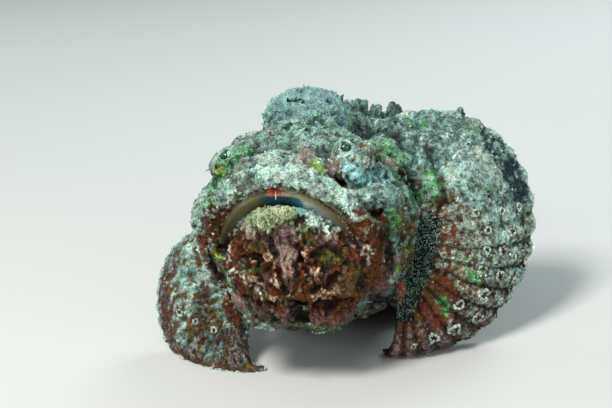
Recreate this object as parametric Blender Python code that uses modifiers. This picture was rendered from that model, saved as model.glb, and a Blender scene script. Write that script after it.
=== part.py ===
"""A reef stonefish resting on its belly, life size, in metres, with +Z up and the mouth towards -Y.

The fish's own left is +X. The floor is z = 0, and the origin is the middle of the flat under its belly.
A place on the fish is given as its offset to the left, its distance behind the upper lip and its height.
"""

import math
import random

import bmesh
import bpy
import numpy as np
from mathutils import Matrix, Vector, bvhtree, kdtree

GAP = 0.0003  # clearance that touching pieces keep
MERGE = 0.000001  # points of a cut that are closer than this are one
MOUTH_TO_BELLY = 0.1350  # from the front of the upper lip back to the middle of the belly's flat
TAIL_BEND = 0.0300  # how far the tail's end lies to the fish's left
BEND_START = 0.0960  # where the body starts to bend, behind the lip
BODY_LENGTH = 0.3040  # upper lip to the end of the tail stalk
VOXEL = 0.0022
BODY_SMOOTHING = 10  # rounds that soften the creases between the melted masses
JAW_SMOOTHING = 5
BODY_TRIANGLES = 5000
JAW_TRIANGLES = 1300
BODY_WARTS = (190, (0.0047, 0.0095), 7)  # how many, the range of their radii and the seed
JAW_WARTS = (30, (0.0043, 0.0077), 8)
WARTS_FROM = 0.0155  # no warts below this height
WARTS_CLEAR = 0.0103  # the lips and lids stay clear of warts by this much
CHIN_SMOOTH = 0.0155  # half width of the chin's wartless middle
WART_RISE = (0.24, 0.42)  # height of a wart for each unit of its radius

# Sections of the body: distance behind the lip, half width, top and bottom above the floor.
SECTIONS = (
    (0.045, 0.0515, 0.1195, 0.0445),
    (0.067, 0.0595, 0.1280, 0.0260),
    (0.090, 0.0605, 0.1305, 0.0070),
    (0.130, 0.0575, 0.1195, -0.0034),
    (0.167, 0.0510, 0.1110, -0.0030),
    (0.202, 0.0415, 0.1020, 0.0030),
    (0.236, 0.0300, 0.0885, 0.0100),
    (0.268, 0.0195, 0.0715, 0.0170),
    (0.296, 0.0120, 0.0600, 0.0215),
)
SECTION_BEADS = 34

# Masses that stand out of the sections: centre (x, distance behind the lip, height) and radii.
MASSES = {
    "snout": ((0.0, 0.0310, 0.1049), (0.0404, 0.0275, 0.0224)),
    "lip_mound": ((0.0, 0.0189, 0.1264), (0.0267, 0.0155, 0.0112)),
    "brow_bridge": ((0.0, 0.0447, 0.1187), (0.0361, 0.0224, 0.0112)),
    "occiput": ((0.0017, 0.0636, 0.1281), (0.0344, 0.0163, 0.0138)),
    "nape_hump": ((-0.0006, 0.0860, 0.1320), (0.0268, 0.0262, 0.0246)),
    "hump_foot": ((0.0018, 0.1130, 0.1190), (0.0262, 0.0350, 0.0175)),
    "back_hump": ((0.0052, 0.1480, 0.1010), (0.0310, 0.0400, 0.0165)),
    "throat": ((0.0, 0.0671, 0.0413), (0.0387, 0.0378, 0.0258)),
}
# The same for masses that come in a left and a right one.
PAIRED_MASSES = {
    "brow": ((0.0327, 0.0447, 0.1230), (0.0155, 0.0189, 0.0112)),
    "cheek": ((0.0439, 0.0430, 0.0955), (0.0172, 0.0224, 0.0172)),
    "jowl": ((0.0421, 0.0499, 0.0731), (0.0163, 0.0292, 0.0275)),
    "gill_cover": ((0.0437, 0.0757, 0.0774), (0.0198, 0.0310, 0.0378)),
    "shoulder": ((0.0413, 0.1030, 0.1015), (0.0206, 0.0340, 0.0224)),
}

LIP_BEADS = 39
LIP_SPREAD = math.radians(108)  # from the middle of the upper lip round to its corner
LIP_HALF_WIDTH = 0.0473
LIP_RISE = 0.0499
LIP_CENTRE = (0.0086, 0.0774)  # distance behind the lip's front, and height, of the arch's centre
LIP_SETBACK = 0.0172  # how far the corners lie behind the middle
LIP_THICK = (0.0082, 0.0069)  # bead radius at the middle and at the corner

JAW_MASSES = (
    ((0.0017, 0.0318, 0.0690), (0.0464, 0.0378, 0.0380)),
    ((0.0163, 0.0258, 0.0464), (0.0181, 0.0232, 0.0146)),
    ((-0.0146, 0.0258, 0.0464), (0.0181, 0.0232, 0.0146)),
    ((0.0, 0.0163, 0.0966), (0.0267, 0.0138, 0.0129)),
    ((0.0, 0.0258, 0.0872), (0.0378, 0.0224, 0.0189)),
)
LOWER_LIP_INSET = 0.0200  # how far the lower lip's middle line lies inside the upper lip's
LOWER_LIP_THICK = 0.0050
LOWER_LIP_TRIM = 4  # beads by which it is shorter at each corner
# Relief beside each eye: its two ends outwards from, behind and above the eye, radius and height.
EYE_STROKES = {
    "pit": ((0.0009, -0.0146, -0.0146), (0.0009, -0.0146, -0.0146), 0.0073, -0.0065),
    "pit_crease": ((0.0009, -0.0146, -0.0146), (0.0129, -0.0086, -0.0189), 0.0052, -0.0030),
    "hollow_behind": ((0.0017, 0.0163, -0.0052), (0.0017, 0.0163, -0.0052), 0.0086, -0.0034),
    "nostril": ((-0.0146, -0.0189, -0.0034), (-0.0146, -0.0189, -0.0034), 0.0039, 0.0026),
}
# Relief of the head and of the chin: whether both sides have it, its two ends, radius and height.
HEAD_STROKES = (
    (True, (0.0593, 0.0869, 0.1015), (0.0447, 0.0826, 0.0396), 0.0077, -0.0047),
    (False, (-0.0189, 0.0378, 0.1307), (0.0189, 0.0378, 0.1316), 0.0120, -0.0039),
    (False, (-0.0241, 0.0740, 0.1419), (0.0292, 0.0740, 0.1402), 0.0077, -0.0022),
)
CHIN_STROKES = (
    (False, (0.0, -0.0060, 0.0946), (0.0009, 0.0034, 0.0473), 0.0077, 0.0034),
    (True, (0.0112, -0.0060, 0.0912), (0.0086, 0.0052, 0.0447), 0.0053, -0.0045),
    (True, (0.0181, -0.0043, 0.0877), (0.0310, 0.0026, 0.0654), 0.0053, -0.0026),
    (True, (0.0163, -0.0026, 0.0671), (0.0258, 0.0052, 0.0464), 0.0052, -0.0026),
    (True, (0.0344, 0.0052, 0.0894), (0.0404, 0.0155, 0.0619), 0.0052, -0.0022),
)
JAW_BACK = 0.0516  # the jaw ends this far behind the lip
MOUTH_HALF_WIDTH = 0.0404
MOUTH_RISE = 0.0430
MOUTH_DEPTH = 0.0258

EYE_RADIUS = 0.0043
EYE_SEGMENTS = 15
EYE_SINK = 0.0031  # how far the middle of each eye lies under the skin
EYE_MOUND = ((0.0, 0.0017, -0.0034), (0.0090, 0.0108, 0.0082))  # its centre off the eye, and radii
EYES = {
    "left": (0.0320, 0.0387, 0.1320),
    "right": (-0.0340, 0.0387, 0.1277),
}
EYE_LOOK = Vector((0.42, -0.62, 0.66))  # which way the left eye looks
LID_RING = (0.0050, 0.0026, 0.0021)  # radius of the raised rim round each eye, its half width and height

HEAD_CUT = 0.0894  # distance behind the lip of the cut between head and torso
HEAD_CUT_LEAN = math.radians(8)
TAIL_CUT = 0.2290
SECTION_EASE = 0.4  # 0 joins the sections by straight lines


# Each pectoral fin: where its root is, how far it is swept back, the angles of its top and
# bottom rays above the level, the reach of its top, middle and bottom rays, how far it bulges
# forwards and its edge curls back, and how far it leans back for each unit of its height.
PECTORALS = {
    "left": {
        "root": (0.0499, 0.0843, 0.0688),
        "sweep": 18,
        "top": 104,
        "bottom": -96,
        "reach": (0.0625, 0.0830, 0.0820),
        "cup": 0.0172,
        "curl": 0.0155,
        "lean": 0.42,
    },
    "right": {
        "root": (-0.0430, 0.0740, 0.0516),
        "sweep": 16,
        "top": 34,
        "bottom": -106,
        "reach": (0.0310, 0.0780, 0.0740),
        "cup": 0.0138,
        "curl": 0.0034,
        "lean": 0.55,
    },
}
PECTORAL_RAYS = 19
PECTORAL_ROWS = 7
PECTORAL_BASE = (0.0103, 0.0292)  # half width and half height of the fin's fleshy base
PECTORAL_CROWDING = 1.15  # over 1 sets the lower rays closer together
PECTORAL_WAVE = (0.12, 0.92)  # the stretch of a half wave that its bulge follows, from root to edge
FLOOR_EASE = 0.0026  # how gently a fin flattens on to the floor
FIN_LIFT = 0.0012  # the middle of a fin that lies on the floor is this high
SCALLOP = 0.022  # share of its reach by which a fin's edge dips between two rays

# Each fin's thickness at its root and at its edge, and what a ray adds to it.
PECTORAL_THICK = (0.0090, 0.0026, 0.0026)
PELVIC_THICK = (0.0052, 0.0023, 0.0010)
SPINE_THICK = (0.0055, 0.0029, 0.0057)
SOFT_DORSAL_THICK = (0.0041, 0.0024, 0.0012)
TAIL_FIN_THICK = (0.0062, 0.0022, 0.0012)
ANAL_THICK = (0.0046, 0.0027, 0.0014)

PELVIC_ROOT = (0.0224, 0.0990, 0.0007)
PELVIC_RAYS = 6
PELVIC_ANGLES = (118, 22)  # first and last ray, where 90 points straight back
PELVIC_REACH = (0.0040, 0.0440)
PELVIC_RISE = 0.0258  # the root's height over the edge

DORSAL_SPINES = 13
DORSAL_START = 0.1050
DORSAL_END = 0.2240
SPINE_HEIGHTS = (0.0026, 0.0118)  # of the first sheath and of the tallest
SPINE_WAVE = (0.04, 0.79)  # the stretch of a half wave that their heights follow, first to last
SPINE_ROOT = 0.0105  # how deep the spines are rooted
SPINE_WEB = 0.45  # height of the notched web between two spines, for each unit of a spine's
SPINE_UNEVEN = 0.0013  # how much their heights differ
SPINE_SWAY = 0.0017  # how far their tips stand to either side
SPINE_SOLVER = "MANIFOLD"  # the sheaths lie too close together for the exact one
SOFT_DORSAL_START = 0.2285
SOFT_DORSAL_END = 0.2740
SOFT_DORSAL_HEIGHT = 0.0150
FIN_ROOT = 0.0088  # how deep the other fins are rooted

TAIL_FIN_ROOT = (0.0, 0.2945, 0.0405)
TAIL_FIN_SPREAD = 47  # angle of the outer rays
TAIL_FIN_REACH = 0.0580
TAIL_FIN_HALF_HEIGHTS = (0.0170, 0.0450)  # at the root and at the edge
TAIL_FIN_SWING = 16

ANAL_START = 0.2050
ANAL_END = 0.2600
ANAL_DEPTHS = (0.0150, 0.0205)  # at the ends and in the middle


def bend(back):
    """How far the middle of the body lies to the fish's left, at a distance behind the lip."""
    t = max(0.0, back - BEND_START) / (BODY_LENGTH - BEND_START)
    return TAIL_BEND * t * t


def place(x, back, height):
    """A point of the fish, from its offset off the body's middle, distance behind the lip and height."""
    return Vector((x + bend(back), back - MOUTH_TO_BELLY, height))


def smooth_between(rows, at):
    """Smooth values between rows sorted by their first number."""
    for low, high in zip(rows, rows[1:]):
        if at <= high[0]:
            break
    t = min(1.0, max(0.0, (at - low[0]) / (high[0] - low[0])))
    t += SECTION_EASE * (t * t * (3 - 2 * t) - t)
    return [a + (b - a) * t for a, b in zip(low[1:], high[1:])]


def new_object(name, mesh, collection):
    obj = bpy.data.objects.new(name, mesh)
    collection.objects.link(obj)
    return obj


def ellipsoid_mesh(centre, radii, segments=24):
    bm = bmesh.new()
    matrix = Matrix.Translation(centre) @ Matrix.Diagonal((*radii, 1.0))
    rows = segments * 2 // 3
    bmesh.ops.create_uvsphere(bm, u_segments=segments, v_segments=rows, radius=1.0, matrix=matrix)
    mesh = bpy.data.meshes.new("ellipsoid")
    bm.to_mesh(mesh)
    bm.free()
    return mesh


def add_ellipsoid(bm, centre, radii):
    mesh = ellipsoid_mesh(centre, radii)
    bm.from_mesh(mesh)
    bpy.data.meshes.remove(mesh)


def baked(obj, name, collection):
    """A new object that holds this object's evaluated mesh, in place of it."""
    graph = bpy.context.evaluated_depsgraph_get()
    mesh = bpy.data.meshes.new_from_object(obj.evaluated_get(graph))
    bpy.data.objects.remove(obj)
    return new_object(name, mesh, collection)


def melt(bm, name, collection, smoothing):
    """One closed skin round the overlapping solids in bm, with its creases softened."""
    mesh = bpy.data.meshes.new(name)
    bm.to_mesh(mesh)
    bm.free()
    obj = new_object(name, mesh, collection)
    remesh = obj.modifiers.new("Melt", "REMESH")
    remesh.mode = "VOXEL"
    remesh.voxel_size = VOXEL
    soften = obj.modifiers.new("Soften", "SMOOTH")
    soften.factor = 0.5
    soften.iterations = smoothing
    return baked(obj, name, collection)


def points_of(mesh):
    points = np.empty(len(mesh.vertices) * 3)
    mesh.vertices.foreach_get("co", points)
    return points.reshape(-1, 3)


def normals_of(mesh):
    normals = np.empty(len(mesh.vertices) * 3, np.float32)
    mesh.vertex_normals.foreach_get("vector", normals)
    return normals.reshape(-1, 3).astype(float)


def push_out(mesh, heights):
    moved = points_of(mesh) + normals_of(mesh) * heights[:, None]
    mesh.vertices.foreach_set("co", moved.ravel())
    mesh.update()


def stroke(points, start, end, radius, height):
    """The relief of a rounded ridge, or with a negative height a groove, from start to end."""
    start, end = np.array(start), np.array(end)
    along = end - start
    t = np.clip((points - start) @ along / max(along @ along, 1e-12), 0, 1)
    away = np.linalg.norm(points - start - t[:, None] * along, axis=1) / radius
    return height * np.clip(1 - away**2, 0, None) ** 2


def both_sides(points, strokes):
    """The relief of a table of strokes, some of which the other side repeats."""
    relief = np.zeros(len(points))
    for mirrored, start, end, radius, height in strokes:
        for side in (1, -1) if mirrored else (1,):
            ends = [place(side * x, back, up) for x, back, up in (start, end)]
            relief += stroke(points, *ends, radius, height)
    return relief


def ring(points, centre, radius, width, height):
    """The relief of a raised rim round a centre."""
    away = (np.linalg.norm(points - np.array(centre), axis=1) - radius) / width
    return height * np.clip(1 - away**2, 0, None) ** 2


def scatter_warts(mesh, warts, keep):
    """Relief of rounded warts, spread evenly over the mesh where keep allows, each of its own size."""
    count, sizes, seed = warts
    rng = random.Random(seed)
    points = points_of(mesh)
    order = list(range(len(points)))
    rng.shuffle(order)
    relief = np.zeros(len(points))
    tree = kdtree.KDTree(len(points))
    for index, point in enumerate(points):
        tree.insert(point, index)
    tree.balance()
    taken = []
    for index in order:
        if len(taken) == count:
            break
        point = points[index]
        radius = rng.uniform(*sizes)
        near = any(np.linalg.norm(point - other) < 0.8 * (radius + size) for other, size in taken)
        if near or not keep(point):
            continue
        taken.append((point, radius))
        height = radius * rng.uniform(*WART_RISE)
        for _, found, distance in tree.find_range(point, radius):
            relief[found] = max(relief[found], height * (1 - (distance / radius) ** 2) ** 1.5)
    return relief


def decimate(obj, triangles, name, collection):
    obj.data.calc_loop_triangles()
    thin = obj.modifiers.new("Facet", "DECIMATE")
    thin.ratio = triangles / len(obj.data.loop_triangles)
    thin.use_collapse_triangulate = True
    return baked(obj, name, collection)


def lip_point(angle, inset=0.0):
    """A point on the middle line of the upper lip, or of a smaller arch inside it, and its thickness."""
    share = abs(angle) / LIP_SPREAD
    back = LIP_CENTRE[0] + LIP_SETBACK * share**1.6
    height = LIP_CENTRE[1] + (LIP_RISE - inset) * math.cos(angle)
    thick = LIP_THICK[0] + (LIP_THICK[1] - LIP_THICK[0]) * share
    return place((LIP_HALF_WIDTH - inset) * math.sin(angle), back, height), thick


def lip_angles():
    return [LIP_SPREAD * (2 * bead / (LIP_BEADS - 1) - 1) for bead in range(LIP_BEADS)]


def body_masses():
    """Centres and radii of the ellipsoids that the head, torso and tail stalk are melted from."""
    first, last = SECTIONS[0][0], SECTIONS[-1][0]
    step = (last - first) / (SECTION_BEADS - 1)
    for bead in range(SECTION_BEADS):
        back = first + step * bead
        half, top, bottom = smooth_between(SECTIONS, back)
        yield (0, back, (top + bottom) / 2), (half, max(2.2 * step, 0.4 * half), (top - bottom) / 2)
    yield from MASSES.values()
    for (x, back, height), radii in PAIRED_MASSES.values():
        for side in (1, -1):
            yield (side * x, back, height), radii
    for eye in EYES.values():
        offset, radii = EYE_MOUND
        yield tuple(a + b for a, b in zip(eye, offset)), radii


def surface_of(obj):
    return bvhtree.BVHTree.FromObject(obj, bpy.context.evaluated_depsgraph_get())


def eye_openings(skin):
    """Where each eye looks out of the skin, and which way."""
    openings = {}
    for side, eye in EYES.items():
        look = Vector((math.copysign(EYE_LOOK.x, eye[0]), EYE_LOOK.y, EYE_LOOK.z)).normalized()
        seen, *_ = skin.ray_cast(place(*eye) + look * 0.03, -look)
        openings[side] = (seen, look)
    return openings


def body_solid(collection):
    """The head, torso and tail stalk as one closed skin with its folds and warts, and the eyes' openings."""
    bm = bmesh.new()
    for centre, radii in body_masses():
        add_ellipsoid(bm, place(*centre), radii)
    for angle in lip_angles():
        centre, thick = lip_point(angle)
        add_ellipsoid(bm, centre, (thick, thick, thick))
    obj = melt(bm, "body", collection, BODY_SMOOTHING)
    openings = eye_openings(surface_of(obj))

    points = points_of(obj.data)
    relief = both_sides(points, HEAD_STROKES)
    for x, back, height in EYES.values():
        outwards = math.copysign(1, x)
        for start, end, radius, rise in EYE_STROKES.values():
            ends = [place(x + outwards * a, back + b, height + c) for a, b, c in (start, end)]
            relief += stroke(points, *ends, radius, rise)
    smooth_places = [lip_point(angle)[0] for angle in lip_angles()]
    for opening, _ in openings.values():
        relief += ring(points, opening, *LID_RING)
        smooth_places.append(opening)

    def warty(point):
        clear = min((at - Vector(point)).length for at in smooth_places)
        return point[2] > WARTS_FROM and clear > WARTS_CLEAR

    relief += scatter_warts(obj.data, BODY_WARTS, warty)
    push_out(obj.data, relief)
    return decimate(obj, BODY_TRIANGLES, "body", collection), openings


def jaw_solid(collection):
    """The lower jaw as a broad bulb, with the ridge and furrows down its chin."""
    bm = bmesh.new()
    for centre, radii in JAW_MASSES:
        add_ellipsoid(bm, place(*centre), radii)
    for angle in lip_angles()[LOWER_LIP_TRIM:-LOWER_LIP_TRIM]:
        centre, _ = lip_point(angle, LOWER_LIP_INSET)
        add_ellipsoid(bm, centre, (LOWER_LIP_THICK,) * 3)
    obj = melt(bm, "jaw", collection, JAW_SMOOTHING)
    relief = both_sides(points_of(obj.data), CHIN_STROKES)
    relief += scatter_warts(obj.data, JAW_WARTS, lambda point: abs(point[0]) > CHIN_SMOOTH)
    push_out(obj.data, relief)
    return decimate(obj, JAW_TRIANGLES, "jaw", collection)


def cut_by_plane(obj, point, normal):
    """Keeps what lies behind the plane, and closes the cut with a face."""
    bm = bmesh.new()
    bm.from_mesh(obj.data)
    everything = bm.verts[:] + bm.edges[:] + bm.faces[:]
    cut = bmesh.ops.bisect_plane(
        bm, geom=everything, plane_co=point, plane_no=normal, clear_outer=True, dist=MERGE
    )
    edges = [item for item in cut["geom_cut"] if isinstance(item, bmesh.types.BMEdge)]
    bmesh.ops.triangle_fill(bm, use_beauty=True, edges=edges, normal=normal)
    bmesh.ops.recalc_face_normals(bm, faces=bm.faces[:])
    bm.to_mesh(obj.data)
    bm.free()


def subtract(obj, other, solver="EXACT"):
    change = obj.modifiers.new("Clearance", "BOOLEAN")
    change.operation = "DIFFERENCE"
    change.object = other
    change.solver = solver


def largest_piece(obj):
    """Drops every closed surface but the largest."""
    bm = bmesh.new()
    bm.from_mesh(obj.data)
    bmesh.ops.triangulate(bm, faces=bm.faces[:])
    left, pieces = set(bm.faces), []
    while left:
        piece, border = set(), [left.pop()]
        while border:
            face = border.pop()
            piece.add(face)
            for edge in face.edges:
                for near in edge.link_faces:
                    if near in left:
                        left.discard(near)
                        border.append(near)
        pieces.append(piece)
    pieces.sort(key=lambda piece: sum(face.calc_area() for face in piece))
    scraps = [face for piece in pieces[:-1] for face in piece]
    bmesh.ops.delete(bm, geom=scraps, context="FACES")
    bm.to_mesh(obj.data)
    bm.free()


def swollen(obj, by, collection):
    """A copy that is larger all round by the clearance."""
    made = new_object(obj.name + "_clear", obj.data.copy(), collection)
    push_out(made.data, np.full(len(made.data.vertices), by))
    made.hide_render = True
    made.display_type = "WIRE"
    return made


def copy_of(obj, name, collection):
    return new_object(name, obj.data.copy(), collection)


def mouth_cutter(collection):
    """The space inside the upper lip, which runs back into the head."""
    bm = bmesh.new()
    front, back = -MOUTH_DEPTH, MOUTH_DEPTH
    matrix = (
        Matrix.Translation(place(0, (front + back) / 2, LIP_CENTRE[1]))
        @ Matrix.Rotation(math.radians(90), 4, "X")
        @ Matrix.Diagonal((MOUTH_HALF_WIDTH, MOUTH_RISE, back - front, 1.0))
    )
    bmesh.ops.create_cone(bm, cap_ends=True, segments=40, radius1=1.0, radius2=1.0, depth=1.0, matrix=matrix)
    mesh = bpy.data.meshes.new("mouth_cutter")
    bm.to_mesh(mesh)
    bm.free()
    return new_object("mouth_cutter", mesh, collection)


def fan_object(name, rays, rows, point_at, thick_at, collection, samples=2):
    """A fin: a fan of rays whose points and thickness are given across the rays and out along them."""
    across, out = rays * samples, rows
    bm = bmesh.new()
    bmesh.ops.create_grid(bm, x_segments=across, y_segments=out, size=0.5)
    bmesh.ops.triangulate(bm, faces=bm.faces[:])
    layer = bm.verts.layers.deform.verify()
    thickest = 0.0
    for vert in bm.verts:
        u, v = vert.co.x + 0.5, vert.co.y + 0.5
        ray = 0.5 - 0.5 * math.cos(2 * math.pi * u * rays)  # 1 on a ray, 0 between two
        vert.co = point_at(u, v, ray)
        thick = thick_at(u, v, ray)
        vert[layer][0] = thick
        thickest = max(thickest, thick)
    for vert in bm.verts:
        vert[layer][0] /= thickest
    mesh = bpy.data.meshes.new(name)
    bm.to_mesh(mesh)
    bm.free()
    obj = new_object(name, mesh, collection)
    obj.vertex_groups.new(name="thick")
    wall = obj.modifiers.new("Wall", "SOLIDIFY")
    wall.thickness = thickest
    wall.offset = 0.0
    wall.vertex_group = "thick"
    wall.use_even_offset = False
    return baked(obj, name, collection)


def wall(thick, v, ray):
    """Thickness of a fin at v of the way out, on a ray or between two."""
    root, edge, ridge = thick
    return root + (edge - root) * v**0.7 + ridge * ray * (1 - 0.45 * v)


def dip(v, ray):
    return 1 - SCALLOP * (1 - ray) * v**4


def on_the_floor(height):
    """The same height, or where it is near the floor or under it, one just over the floor."""
    over = (height - FIN_LIFT) / FLOOR_EASE
    return FIN_LIFT + FLOOR_EASE * (over if over > 16 else math.log1p(math.exp(over)))


def pectoral(side, collection):
    """A broad fan on a fleshy base, with its lower rays on the floor."""
    size = PECTORALS[side]
    sign = 1 if side == "left" else -1
    sweep = math.radians(size["sweep"])
    out = Vector((sign * math.cos(sweep), math.sin(sweep), 0.0))
    front = Vector((sign * math.sin(sweep), -math.cos(sweep), 0.0))
    up = Vector((0.0, size["lean"], 1.0)).normalized()
    root = place(*size["root"])
    top, middle, low = size["reach"]
    base_out, base_up = PECTORAL_BASE
    start, end = PECTORAL_WAVE

    def point_at(u, v, ray):
        turned = 1 - (1 - u) ** PECTORAL_CROWDING
        angle = math.radians(size["top"] + (size["bottom"] - size["top"]) * turned)
        reach = (1 - u) * (1 - 2 * u) * top + 4 * u * (1 - u) * middle + u * (2 * u - 1) * low
        reach *= dip(v, ray)
        along = base_out + (reach - base_out) * v
        high = base_up + (reach - base_up) * v
        bulge = size["cup"] * math.sin(math.pi * (start + (end - start) * v)) - size["curl"] * v**2.5
        point = root + out * along * math.cos(angle) + up * high * math.sin(angle) + front * bulge
        point.z = on_the_floor(point.z)
        return point

    def thick_at(u, v, ray):
        return wall(PECTORAL_THICK, v, ray)

    return fan_object(f"pectoral_fin_{side}", PECTORAL_RAYS, PECTORAL_ROWS, point_at, thick_at, collection)


def pelvic(side, collection):
    """A short fan that lies on the floor beside the belly."""
    sign = 1 if side == "left" else -1
    x, back, height = PELVIC_ROOT
    root = place(sign * x, back, height)
    first, last = PELVIC_ANGLES
    start, end = PELVIC_REACH

    def point_at(u, v, ray):
        angle = math.radians(first + (last - first) * u)
        away = start + (end * dip(v, ray) - start) * v
        rise = PELVIC_RISE * (1 - v) ** 2
        return root + Vector((sign * math.cos(angle) * away, math.sin(angle) * away, rise))

    def thick_at(u, v, ray):
        return wall(PELVIC_THICK, v, ray)

    return fan_object(f"pelvic_fin_{side}", PELVIC_RAYS, 5, point_at, thick_at, collection)


def along_body(skin, down, start, end, count=60):
    """Heights of the body's skin above or below its middle line, as a smooth function of the distance."""
    backs = np.linspace(start, end, count)
    heights = []
    for back in backs:
        hit, *_ = skin.ray_cast(place(0, back, 0.4 if down else -0.4), Vector((0, 0, -1 if down else 1)))
        heights.append(hit.z)
    window = np.hanning(11)
    ends = np.pad(heights, 5, mode="edge")
    even = np.convolve(ends, window / window.sum(), mode="valid")
    return lambda back: float(np.interp(back, backs, even))


def dorsal(skin, collection):
    """Spines in thick sheaths, leaning back, with a notched web between them."""
    back_line = along_body(skin, True, DORSAL_START, DORSAL_END)
    shortest, tallest = SPINE_HEIGHTS
    first, last = SPINE_WAVE

    def point_at(u, v, ray):
        tall = shortest + (tallest - shortest) * math.sin(math.pi * (first + (last - first) * u))
        tall = (tall + SPINE_UNEVEN * math.sin(23 * u)) * (SPINE_WEB + (1 - SPINE_WEB) * ray)
        rise = (tall + SPINE_ROOT) * v - SPINE_ROOT
        sway = SPINE_SWAY * math.sin(31 * u + 1.0) * v
        back = DORSAL_START + (DORSAL_END - DORSAL_START) * u
        return place(sway, back + max(0.0, rise), back_line(back) + rise)

    def thick_at(u, v, ray):
        return wall(SPINE_THICK, v, ray)

    return fan_object("dorsal_fin_spines", DORSAL_SPINES, 4, point_at, thick_at, collection, samples=3)


def soft_dorsal(skin, collection):
    back_line = along_body(skin, True, SOFT_DORSAL_START, SOFT_DORSAL_END)

    def point_at(u, v, ray):
        tall = SOFT_DORSAL_HEIGHT * (1 - 0.35 * u) * dip(v, ray)
        rise = (tall + FIN_ROOT) * v - FIN_ROOT
        back = SOFT_DORSAL_START + (SOFT_DORSAL_END - SOFT_DORSAL_START) * u
        return place(0.0013 * math.sin(9 * u) * v, back + 0.9 * max(0.0, rise), back_line(back) + rise)

    def thick_at(u, v, ray):
        return wall(SOFT_DORSAL_THICK, v, ray)

    return fan_object("dorsal_fin_soft", 7, 5, point_at, thick_at, collection)


def caudal(collection):
    """The tail fin, half spread and swung to the fish's left."""
    root = place(*TAIL_FIN_ROOT)
    swing = Matrix.Rotation(-math.radians(TAIL_FIN_SWING), 3, "Z")
    low, high = TAIL_FIN_HALF_HEIGHTS

    def point_at(u, v, ray):
        angle = math.radians(TAIL_FIN_SPREAD * (1 - 2 * u))
        along = (TAIL_FIN_REACH * dip(v, ray) + FIN_ROOT) * v * (0.75 + 0.25 * math.cos(angle)) - FIN_ROOT
        ripple = 0.0034 * v * v + 0.0013 * math.sin(12 * u) * v
        flat = swing @ Vector((ripple, along, 0.0))
        return root + flat + Vector((0, 0, (low + (high - low) * v) * math.sin(angle)))

    def thick_at(u, v, ray):
        return wall(TAIL_FIN_THICK, v, ray)

    return fan_object("tail_fin", 12, 5, point_at, thick_at, collection)


def anal(skin, collection):
    belly_line = along_body(skin, False, ANAL_START, ANAL_END)
    ends, middle = ANAL_DEPTHS

    def point_at(u, v, ray):
        deep = (ends + (middle - ends) * math.sin(math.pi * u)) * dip(v, ray)
        drop = (deep + FIN_ROOT) * v - FIN_ROOT
        back = ANAL_START + (ANAL_END - ANAL_START) * u
        return place(0.0017 * v, back + 0.6 * max(0.0, drop), belly_line(back) - drop)

    def thick_at(u, v, ray):
        return wall(ANAL_THICK, v, ray)

    return fan_object("anal_fin", 8, 4, point_at, thick_at, collection)


def finish_flesh(color, name):
    material = bpy.data.materials.new(name)
    material.use_nodes = True
    shader = material.node_tree.nodes["Principled BSDF"]
    shader.inputs["Base Color"].default_value = (*color, 1.0)
    shader.inputs["Roughness"].default_value = 0.85
    shader.inputs["Metallic"].default_value = 0.0
    return material


def clear_scene():
    for obj in list(bpy.data.objects):
        bpy.data.objects.remove(obj)


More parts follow.
